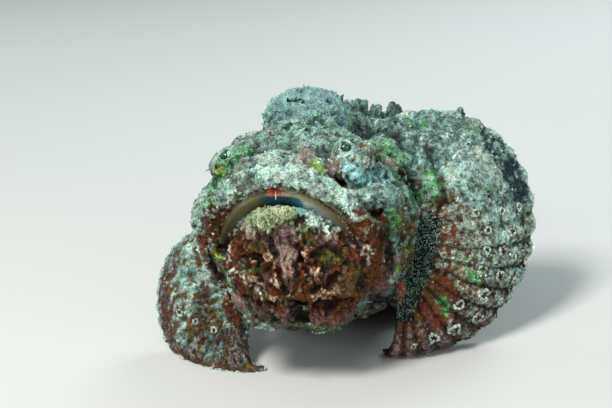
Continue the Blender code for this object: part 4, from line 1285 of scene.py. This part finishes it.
lining = {
    # inset, distance behind the lip's own middle, and lane for each row
    "rows": (
        (0.0070, 0.0014, 0.0), (0.0080, 0.0002, 0.1), (0.0096, -0.0003, 0.25), (0.0112, 0.0004, 0.4),
        (0.0124, 0.0014, 0.5), (0.0140, 0.0024, 0.65), (0.0160, 0.0036, 0.85), (0.0186, 0.0056, 1.0),
    ),
    "between": 4,
    "columns": 131,
    "reach": 0.98,
    "thick": 0.0012,
    "wander": 0.0005,
    "endsBack": 0.0022,
    "taper": 0.72,
    "halfWide": 0.045,
}
liningColours = {
    "dusk": (0.040, 0.026, 0.016),
    "olive": (0.120, 0.112, 0.046),
    "tan": (0.300, 0.260, 0.130),
    "sand": (0.520, 0.460, 0.260),
    "dun": (0.12, 0.12, 0.07),
    "umber": (0.13, 0.080, 0.030),
    # the next three are painted shadow of the mouth's opening, from dark blue to slate
    "shadowBlue": (0.004, 0.050, 0.090),
    "shadowInk": (0.03, 0.06, 0.06),
    "shadowSlate": (0.03, 0.15, 0.22),
    # partly the lining's own pale tone and partly painted highlight
    "greyHighlight": (0.520, 0.600, 0.580),
    "ash": (0.24, 0.26, 0.26),
    "mottle": (0.085, 0.055, 0.028, 1.0),
    "rust": (0.16, 0.045, 0.020, 1.0),
    "pale": (0.34, 0.33, 0.22, 1.0),
}
# the inner lane runs from the painted shadow of the mouth's opening to a grey that is partly painted
# highlight
deepLane = ((0.0, "dusk"), (0.22, "olive"), (0.36, "olive"), (0.40, "shadowInk"), (0.44, "shadowBlue"), (0.57, "shadowBlue"),
            (0.62, "shadowSlate"), (0.67, "greyHighlight"), (0.77, "ash"), (0.87, "olive"), (1.0, "dusk"))
outerLane = ((0.0, "dusk"), (0.14, "olive"), (0.30, "tan"), (0.42, "dun"), (0.50, "sand"), (0.70, "tan"),
             (0.86, "umber"), (1.0, "dusk"))


def liningFinish():
    # tan along the rim; inside it painted shadow of the mouth's opening, dark blue in the middle, and a blue
    # grey to the fish's left that is partly painted highlight
    finish = Finish("liningFinish", 0.45, 0.22)
    across = finish.across(finish.place) + 0.006 * (finish.noise(0.005) - 0.5)
    along = finish.between(across, -lining["halfWide"], lining["halfWide"], "LINEAR")
    deep, outer = (finish.ramp(along, *((at, liningColours[name]) for at, name in lane))
                   for lane in (deepLane, outerLane))
    wobble = finish.attribute("lane") + 0.16 * (finish.noise(0.006) - 0.5)
    wobble = wobble + 0.08 * (finish.noise(0.0015) - 0.5)
    colour = finish.mix(finish.between(wobble, 0.44, 0.30), deep, outer)
    mottle = finish.between(finish.noise(0.0022, 3.0, 0.6), 0.50, 0.66)
    colour = finish.mix(mottle * 0.25, colour, liningColours["mottle"])
    rust = finish.between(finish.noise(0.0024), 0.46, 0.58) * finish.between(wobble, 0.26, 0.12)
    colour = finish.mix(rust * 0.85, colour, liningColours["rust"])
    dots = finish.between(finish.cells(0.0010), 0.36, 0.22)
    finish.feed("Base Color", finish.mix(dots * 0.10, colour, liningColours["pale"]))
    finish.bump(finish.noise(0.0016, 3.0), 0.5, 0.0006)
    return finish.material


def makeLining():
    angles = np.linspace(-lips["spread"], lips["spread"], lining["columns"]) * lining["reach"]
    marks = np.arange(len(lining["rows"]))
    rows = np.linspace(0, marks[-1], marks[-1] * lining["between"] + 1)
    shape = []
    for values in zip(*lining["rows"]):
        even = np.interp(rows, marks, values)
        even[1:-1] = np.convolve(even, (0.25, 0.5, 0.25), mode="valid")
        shape.append(even)
    insets, behinds, lanes = shape
    outward = np.abs(angles) / lips["spread"]
    sway = lining["wander"] * clouds(np.outer(angles, (0.05, 0.0, 0.0)), 0.006, 181, 2)
    sway += lining["endsBack"] * ease(0.62, 0.95, outward)
    narrow = 1 - lining["taper"] * ease(0.30, 0.90, outward)
    points = [lipPoint(angle, partWay((insets[0], inset), share) + 0.6 * shift, behind + shift)
              for angle, shift, share in zip(angles, sway, narrow)
              for inset, behind in zip(insets, behinds)]
    grid = np.arange(len(points)).reshape(len(angles), len(rows))
    faces = np.stack((grid[:-1, :-1], grid[1:, :-1], grid[1:, 1:], grid[:-1, 1:]), axis=2).reshape(-1, 4)
    piece = meshPiece("lip_lining", np.array(points), faces)
    colourPiece(piece, lane=np.repeat(np.tile(lanes, len(angles))[:, None], 3, axis=1))
    modify(piece, "SOLIDIFY", thickness=lining["thick"], offset=0.0)
    with editing(piece):
        bpy.ops.mesh.remove_doubles(threshold=0.000001)
        bpy.ops.mesh.normals_make_consistent(inside=False)
    piece.data.shade_smooth()
    piece.data.materials.append(liningFinish())
    return piece


lipLining = makeLining()
print("lip lining made")

# The coat: sprigs that taper from a sunk root, all in joined meshes

skinTriangles = trianglesOf(skin)
firstCorner, secondCorner, thirdCorner = skinPoints[skinTriangles].transpose(1, 0, 2)
skinAreas = lengths(np.cross(secondCorner - firstCorner, thirdCorner - firstCorner)) / 2
coat = []


def scatter(count, weight, seed):
    # roots spread over the skin, thicker where weight, one value a vertex, is larger
    chance = np.random.default_rng(seed)
    share = skinAreas * weight[skinTriangles].mean(axis=1)
    faces = chance.choice(len(share), size=count, p=share / share.sum())
    a, b = chance.random((2, count))
    over = a + b > 1
    a[over], b[over] = 1 - a[over], 1 - b[over]
    weights = np.stack((1 - a - b, a, b), axis=1)
    corners = skinTriangles[faces]
    roots, normals = ((values[corners] * weights[:, :, None]).sum(1)
                      for values in (skinPoints, skinNormals))
    onFin = {key: (skinFin[key][corners] * weights).sum(1) for key in ("out", "share", "phase")}
    onFin["fin"] = skinFin["fin"][corners[:, 0]]
    onFin["tall"] = (skinTall[corners] * weights).sum(1)
    return roots, normals / lengths(normals)[:, None], onFin, chance


def sprigs(name, roots, along, across, sizes, rings, colours, tips, bow=0.0, sides=3):
    # closed tapered shapes: sizes are length, width and thickness, rings are (way up, share of the width)
    length, width, thick = (np.broadcast_to(size, len(roots))[:, None] for size in sizes)
    other = np.cross(along, across)
    layers, ups = [], []
    for way, wide in rings:
        centre = roots + along * length * way + bow * length * way**2
        for angle in 2 * math.pi * np.arange(sides) / sides:
            rim = across * width * math.cos(angle) + other * thick * math.sin(angle)
            layers.append(centre + rim * wide / 2)
            ups.append(way)
    layers.append(roots + along * length + bow * length)
    ups = np.array(ups + [1.0])[None, :, None]
    faces = [(0, side + 1, side) for side in range(1, sides - 1)]
    for ring in range(len(rings) - 1):
        for side in range(sides):
            a, b = ring * sides + side, ring * sides + (side + 1) % sides
            faces += [(a, b, b + sides), (a, b + sides, a + sides)]
    last = (len(rings) - 1) * sides
    faces += [(last + side, last + (side + 1) % sides, last + sides) for side in range(sides)]
    perSprig = len(layers)
    starts = (np.arange(len(roots)) * perSprig)[:, None, None]
    points = np.stack(layers, axis=1).reshape(-1, 3)
    piece = meshPiece(name, points, (np.array(faces) + starts).reshape(-1, 3))
    colourPiece(piece, main=mixed(colours[:, None], tips[:, None], ups).reshape(-1, 3))
    turn = 2 * math.pi * np.arange(perSprig) / perSprig
    patch = np.stack((np.cos(turn), np.sin(turn)), axis=1) * unwrap["patch"] / 2
    addMap(piece, "OFBake", (unwrapped(roots)[:, None] + patch).reshape(-1, 2))
    piece.data.materials.append(coatMaterial)
    coat.append(piece)


def pickColours(roots, normals, onFin, chance, contrast=0.11):
    # the markings at each root, with the flecks dealt out one root at a time
    main, fleck, share = markings(roots, normals, onFin, onFin["tall"])
    pick = np.clip(share + chance.normal(0, 0.24, len(roots)), 0, 1)[:, None]
    change = chance.normal(0, contrast, len(roots))[:, None] + chance.normal(0, 0.05, roots.shape)
    return mixed(main, fleck, pick) * np.exp(change)


# Where the coat is thick and where it leaves the skin bare

coatLimits = {
    "front": (0.19, 0.02),
    "lining": (0.0012, 0.0030),
    "eyes": (0.0052, 0.0066),
    "floor": (0.0025, 0.0060),
    "fringe": (0.93, 0.99),
    "axil": (1.40, 0.70),
}
frontness = ease(*coatLimits["front"], backOf(skinPoints))
upness = skinNormals[:, 2]
jawness = isJaw(skinPoints)
liningSurface = surfaceOf(lipLining)
awayFromLining = np.array([liningSurface.find_nearest(point)[3] for point in skinPoints])
aboveFloor = ease(*coatLimits["floor"], skinPoints[:, 2])
grown = ease(*coatLimits["lining"], awayFromLining) * ease(*coatLimits["eyes"], awayFromEyes(skinPoints))
grown *= aboveFloor
fringe = ease(*coatLimits["fringe"], skinFin["out"]) * skinFin["share"]
# the axil: near the painted shadow behind the left pectoral fin, where the coat thins and pale beads sit
axilShadowPaths = [awayFromPath(skinPoints, path) / radius
              for name, path, radius, rough in finDaubs if name == "teal"]
axil = ease(*coatLimits["axil"], np.min(axilShadowPaths, axis=0))
turf = {
    "pieces": 5,
    "clumps": 4900,  # in each piece
    "perClump": 4,
    "spread": 0.00042,
    "length": 0.00085,  # the commonest, varied by a share of itself
    "uneven": 0.42,
    "longest": 0.0034,
    "width": (0.00022, 0.00042),
    "lean": 0.8,
    "unruly": 0.45,
    "sunk": 0.0003,
    "rings": ((0.0, 1.0), (0.5, 0.85)),
    "seed": 200,
}
grains = {
    "pieces": 2,
    "count": 6200,
    "size": (0.00045, 0.0017),
    "rings": ((0.0, 0.6), (0.35, 1.0), (0.75, 0.75)),
    "sunk": 0.35,
    "contrast": 0.20,
    "seed": 300,
}
beadlets = {
    "count": 1900,
    "size": (0.00032, 0.00058),
    "colour": (146, 176, 160),
    "seed": 350,
}
flaps = {
    "count": 900,
    "length": (0.0014, 0.0042),
    "width": (0.0008, 0.0020),
    "unruly": 0.6,
    "contrast": 0.15,
    "sunk": 0.0006,
    "rings": ((0.0, 0.9), (0.3, 1.05), (0.66, 1.0), (0.92, 0.62)),
    "seed": 400,
}


def lieOf(roots, normals, onFin, chance, unruly):
    # backwards and a little down over the body, outwards along the rays of the fins
    flow = np.tile((0.0, 1.0, -0.35), (len(roots), 1))
    for owner, size in enumerate(pectorals.values()):
        own = (onFin["share"] > 0.4) & (onFin["fin"] == owner)
        flow[own] = roots[own] - place(*size["root"])
    return flatTo(unit(flow) + chance.normal(0, unruly, roots.shape), normals)


def growTurf(index):
    weight = (0.25 + 0.9 * ease(-0.4, 0.4, upness) + 1.0 * frontness) * grown
    weight = weight * (1 - 0.80 * jawness) * (0.35 + 0.65 * ease(-0.8, 0.4, skinTall)) * (1 - 0.9 * axil)
    weight = weight * (0.5 + ease(0.35, 0.65, cloud(skinPoints, 0.0048, 15))) + 0.8 * fringe * aboveFloor
    roots, normals, onFin, chance = scatter(turf["clumps"], weight, turf["seed"] + index)
    colours = pickColours(roots, normals, onFin, chance)
    lie = lieOf(roots, normals, onFin, chance, turf["unruly"])
    size = np.exp(chance.normal(0, turf["uneven"], len(roots))) * (0.55 + 0.9 * cloud(roots, 0.007, 5))
    size *= 1 - 0.45 * isJaw(roots)
    roots, normals, colours, lie, size = (np.repeat(rows, turf["perClump"], axis=0)
                                          for rows in (roots, normals, colours, lie, size))
    count = len(roots)
    size = size * chance.uniform(0.6, 1.25, count)
    nudge = chance.normal(0, turf["spread"], roots.shape)
    roots = roots + nudge - (nudge * normals).sum(1)[:, None] * normals
    stick = chance.uniform(0.35, 1.3, count)[:, None]
    along = unit(lie * turf["lean"] + normals * stick + chance.normal(0, 0.35, roots.shape))
    across = flatTo(np.cross(along, normals) + chance.normal(0, 0.3, roots.shape), along)
    length = np.minimum(turf["length"] * size, turf["longest"])
    width = chance.uniform(*turf["width"], count)
    bow = lie * chance.uniform(-0.1, 0.4, count)[:, None] + chance.normal(0, 0.15, roots.shape)
    colours = colours * np.exp(chance.normal(0, 0.08, count))[:, None]
    sprigs(f"turf_{index}", roots - normals * turf["sunk"], along, across, (length, width, width * 0.7),
           turf["rings"], colours * 0.8, np.minimum(colours * 1.2, 1), bow)


def crumbs(name, roots, normals, colours, size, chance):
    # rounded grains, half sunk
    tilt = unit(normals + chance.normal(0, 0.3, roots.shape))
    across = flatTo(chance.normal(0, 1, roots.shape), tilt)
    wide = size * chance.uniform(0.9, 1.4, len(roots))
    sizes = (size * 1.05, wide, size * chance.uniform(0.8, 1.1, len(roots)))
    sprigs(name, roots - tilt * grains["sunk"] * size[:, None], tilt, across, sizes, grains["rings"],
           colours * 0.85, colours * 1.1, sides=5)


def growGrains(index):
    # crumbs of crust and sand
    weight = (0.15 + 1.2 * ease(-0.2, 0.5, upness) + 1.2 * frontness) * grown * (1 - axil)
    weight = weight * (0.2 + 1.6 * ease(0.45, 0.70, cloud(skinPoints, 0.0085, 9)))
    weight = weight * ease(-1.0, 0.6, skinTall)
    weight = weight * (1 - 0.75 * jawness)
    roots, normals, onFin, chance = scatter(grains["count"], weight, grains["seed"] + index)
    colours = pickColours(roots, normals, onFin, chance, grains["contrast"]) * 1.10
    size = partWay(grains["size"], chance.random(len(roots)) ** 2.4)
    crumbs(f"grains_{index}", roots, normals, colours, size, chance)


def growBeadlets():
    # small pale beads on the painted shadow behind the left pectoral fin
    roots, normals, onFin, chance = scatter(beadlets["count"], axil * aboveFloor, beadlets["seed"])
    colours = rgb(beadlets["colour"]) * np.exp(chance.normal(0, 0.35, len(roots)))[:, None]
    crumbs("dots", roots, normals, colours, chance.uniform(*beadlets["size"], len(roots)), chance)


def growFlaps():
    # fleshy flaps and papillae, larger and fewer
    weight = (0.3 + 0.8 * ease(-0.3, 0.4, upness) + 0.8 * frontness) * grown
    weight = weight * (1 - 0.8 * (skinFin["share"] > 0.3)) * (1 - 0.8 * jawness) * (1 - axil)
    roots, normals, onFin, chance = scatter(flaps["count"], weight, flaps["seed"])
    count = len(roots)
    colours = pickColours(roots, normals, onFin, chance, flaps["contrast"])
    lie = lieOf(roots, normals, onFin, chance, flaps["unruly"])
    along = unit(lie * 0.8 + normals * chance.uniform(0.5, 1.3, count)[:, None])
    across = flatTo(np.cross(lie, normals), along)
    length = partWay(flaps["length"], chance.random(count) ** 2)
    width = partWay(flaps["width"], chance.random(count))
    bow = lie * chance.uniform(0.0, 0.5, count)[:, None]
    sprigs("flaps", roots - normals * flaps["sunk"], along, across, (length, width, width * 0.4),
           flaps["rings"], colours * 0.8, colours, bow, sides=6)


for number in range(turf["pieces"]):
    growTurf(number)
for number in range(grains["pieces"]):
    growGrains(number)
growBeadlets()
growFlaps()
print("turf, grains and flaps grown", [len(piece.data.polygons) for piece in coat])

# The red tuft under the middle of the upper lip, with a white tip, and the papillae along the rim

tuft = {
    "arms": 13,
    "fan": 1.35,
    "at": (0.0, 0.0072, -0.0006),  # angle along the lip, inset and distance behind it
    "apart": 0.0021,
    "length": (0.0016, 0.0042),
    "longest": 0.0050,
    "width": 0.00095,
    "tipWidth": 0.00070,
    "rings": ((0.0, 1.0), (0.3, 1.1), (0.6, 0.9), (0.88, 0.75)),
    "red": (186, 74, 42),
    "white": (214, 206, 184),
    "whiteRoot": (1.0, 0.55, 0.35),
    "seed": 91,
}
rimKnobs = {
    "count": 210,
    "span": 0.93,
    "length": (0.0008, 0.0021),
    "width": (0.0006, 0.0012),
    "inset": (0.0060, 0.0074),
    "sunk": 0.0005,
    "rings": ((0.0, 0.9), (0.4, 1.1), (0.8, 0.85)),
    "seed": 93,
}


def growTuft():
    chance = np.random.default_rng(tuft["seed"])
    count = tuft["arms"]
    middle = count // 2
    turns, level = np.linspace(-tuft["fan"], tuft["fan"], count), np.zeros(count)
    along = np.stack((np.sin(turns), level - 0.75, -np.cos(turns) * 0.8 - 0.1), axis=1)
    along = unit(along + chance.normal(0, 0.12, (count, 3)))
    roots = lipPoint(*tuft["at"]) + np.stack((turns * tuft["apart"], level, np.abs(turns) * 0.0004), axis=1)
    length = chance.uniform(*tuft["length"], count)
    colours = rgb(tuft["red"]) * chance.uniform(0.6, 1.2, count)[:, None]
    tips = colours * 1.3
    length[middle], tips[middle] = tuft["longest"], rgb(tuft["white"])
    colours[middle] = tips[middle] * tuft["whiteRoot"]
    across = flatTo(np.cross(along, (0.0, -1.0, 0.0)), along)
    width = level + tuft["width"]
    width[middle] = tuft["tipWidth"]
    sprigs("lip_tuft", roots, along, across, (length, width, width * 0.6), tuft["rings"], colours, tips,
           np.array((0.0, 0.0, -0.35)), 6)


def growRimKnobs():
    chance = np.random.default_rng(rimKnobs["seed"])
    count, sunk = rimKnobs["count"], rimKnobs["sunk"]
    angles = np.linspace(-rimKnobs["span"], rimKnobs["span"], count) * lips["spread"]
    angles = angles + chance.normal(0, 0.006, count)
    insets = chance.uniform(*rimKnobs["inset"], count)
    roots = np.array([lipPoint(angle, inset, -0.0002) for angle, inset in zip(angles, insets)])
    inward = unit(np.array([lipPoint(angle, 0.02) - lipPoint(angle) for angle in angles]))
    along = unit(inward + (0, -0.75, 0) + chance.normal(0, 0.3, roots.shape))
    across = flatTo(chance.normal(0, 1, roots.shape), along)
    pale = np.clip(cloud(roots, 0.0045, 191) * 3 - 1.0, 0, 1)[:, None]
    colours = mixed(tones["rust"][0], tones["crust"][0], pale) * chance.uniform(0.6, 1.15, count)[:, None]
    length = chance.uniform(*rimKnobs["length"], count) + sunk
    width = chance.uniform(*rimKnobs["width"], count)
    sprigs("rim_knobs", roots - along * sunk, along, across, (length, width, width * 0.8),
           rimKnobs["rings"], colours * 0.8, colours * 1.1, sides=6)


growTuft()
growRimKnobs()
print("tuft and rim grown", sum(len(piece.data.polygons) for piece in coat))

# Eyeballs


def eyeFinish():
    # a dark green iris round a small pupil with a thin pale ring
    finish = Finish("eyeFinish", 0.22, 0.35)
    finish.shader.inputs["Coat Weight"].default_value = 0.25
    across = finish.across(finish.add("ShaderNodeUVMap", {"uv_map": "gaze"}))
    finish.feed("Base Color", finish.ramp(
        across + 0.05 * (finish.noise(0.0006) - 0.5),
        (0.0, (0.003, 0.005, 0.004)), (0.10, (0.003, 0.005, 0.004)), (0.125, (0.26, 0.34, 0.18)),
        (0.155, (0.020, 0.085, 0.055)), (0.40, (0.012, 0.055, 0.036)), (0.60, (0.006, 0.022, 0.016)),
        (1.0, (0.02, 0.03, 0.025)),
    ))
    return finish.material


eyeMaterial = eyeFinish()


def makeEye(side):
    centre, radius, look = seats[side]
    selectOnly()
    bpy.ops.mesh.primitive_uv_sphere_add(segments=48, ring_count=32, radius=radius)
    eye = bpy.context.object
    eye.name = eye.data.name = "eyeball_" + side
    points = pointsOf(eye)
    away = np.arccos(np.clip(points[:, 2] / radius, -1, 1))
    points *= (1 + 0.05 * np.exp(-((away / 0.6) ** 2)))[:, None]
    setPoints(eye, points)
    while eye.data.uv_layers:
        eye.data.uv_layers.remove(eye.data.uv_layers[0])
    turn = np.arctan2(points[:, 1], points[:, 0]) / (2 * math.pi) + 0.5
    addMap(eye, "gaze", np.clip(np.stack((away / math.pi * 2, turn), axis=1), 0, 1))
    eye.data.shade_smooth()
    settle(eye, centre, look)
    eye.data.materials.append(eyeMaterial)
    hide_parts("eye_" + side)
    return eye


eyeballs = [makeEye(side) for side in seats]
print("eyes made")

# Fin rings: open rings of white crumbs, where the picture shows them and, on the far faces, one or two
# on each pectoral ray


def ruledRings(chance):
    found = []
    rays = fins["pectoral"]["rays"]
    for side in pectorals:
        rule = pectoralRule(side)
        for row, size in fringes["rows"]:
            for ray in range(rays):
                u = (ray + 0.5 + chance.uniform(-0.08, 0.08)) / rays
                v = row + chance.uniform(-0.025, 0.025)
                us, vs = np.array(((u, u + 0.004, u), (v, v, v + 0.02)))
                centre, beside, beyond = rule(us, vs, np.ones(3))
                face = np.cross(*unit(np.array([beside - centre, beyond - centre])))
                for sign in (1, -1):
                    spot, lift = bareSurface.find_nearest(Vector(centre + sign * face * 0.003))[:2]
                    if lift.dot(stand - spot) < 0:
                        found.append((np.array(spot), np.array(lift), size * chance.uniform(0.6, 1.0)))
    return found


def growRings():
    chance = np.random.default_rng(fringes["seed"])
    roots, normals, sizes = [], [], []
    for centre, lift, size in ringSpots + ruledRings(chance):
        root = place(*pectorals["left" if centre[0] > 0 else "right"]["root"])
        out = flatTo((centre - root)[None], lift[None])[0]
        across = np.cross(lift, out)
        wide, tall = (half * size * chance.uniform(0.9, 1.1) for half in fringes["half"])
        for turn in range(fringes["crumbs"]):
            if chance.random() < fringes["gaps"]:
                continue
            angle = 2 * math.pi * (turn + chance.uniform(-0.4, 0.4)) / fringes["crumbs"]
            bulge = sum(abs(part) ** fringes["square"] for part in (math.cos(angle), math.sin(angle)))
            bulge **= -1 / fringes["square"]
            bulge *= chance.uniform(0.78, 1.16)
            spot = centre + (across * math.cos(angle) * wide + out * math.sin(angle) * tall) * bulge
            hug, lean = bareSurface.find_nearest(Vector(spot))[:2]
            roots.append(np.array(hug))
            normals.append(np.array(lean))
            sizes.append(chance.uniform(*fringes["crumb"]) * (0.55 + 0.45 * size))
    roots, normals, sizes = np.array(roots), np.array(normals), np.array(sizes)
    colours = rgb(fringes["colour"]) * chance.uniform(0.5, 1.15, len(roots))[:, None]
    crumbs("fin_rings", roots, normals, colours, sizes, chance)


growRings()
print("fin rings grown")

# Hand the pieces to the frame

replaced = [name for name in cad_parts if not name.startswith("eye")]
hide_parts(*replaced)
for piece in [skin, lipLining] + coat + eyeballs:
    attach(piece, "root")

# Floor, light and air

studio = {
    "floor": (0.68, 0.68, 0.66),
    "floorSize": 60.0,
    "sky": (0.60, 0.70, 0.72),
    "skyStrength": 0.32,
    "aim": (0.0, -0.02, 0.07),
    "lamps": {  # place, size, power and colour
        "key": ((-0.35, -0.95, 1.35), 0.45, 25.5, (1.0, 0.98, 0.95)),
        "fill": ((1.0, -0.9, 0.45), 0.9, 4.0, (0.92, 1.0, 1.0)),
        "rim": ((0.4, 1.0, 0.9), 0.7, 8.0, (0.85, 0.97, 1.0)),
        "side": ((-1.1, 0.7, 0.8), 0.9, 3.5, (0.92, 1.0, 1.0)),
    },
}


def makeStudio():
    selectOnly()
    bpy.ops.mesh.primitive_plane_add(size=studio["floorSize"])
    floor = bpy.context.object
    floor.name = "floor"
    finish = Finish("floorFinish", 0.85, 0.2)
    finish.shader.inputs["Base Color"].default_value = (*studio["floor"], 1.0)
    floor.data.materials.append(finish.material)
    world = bpy.data.worlds.new("air")
    bpy.context.scene.world = world
    world.use_nodes = True
    sky = world.node_tree.nodes["Background"]
    sky.inputs["Color"].default_value = (*studio["sky"], 1.0)
    sky.inputs["Strength"].default_value = studio["skyStrength"]
    for name, (spot, size, power, colour) in studio["lamps"].items():
        bpy.ops.object.light_add(type="AREA", location=spot)
        lamp = bpy.context.object
        lamp.name = name
        lamp.data.size = size
        lamp.data.energy = power
        lamp.data.color = colour
        lamp.rotation_euler = (Vector(studio["aim"]) - Vector(spot)).to_track_quat("-Z", "Y").to_euler()
    bpy.context.scene.view_settings.view_transform = "Standard"


makeStudio()
print("studio lit")
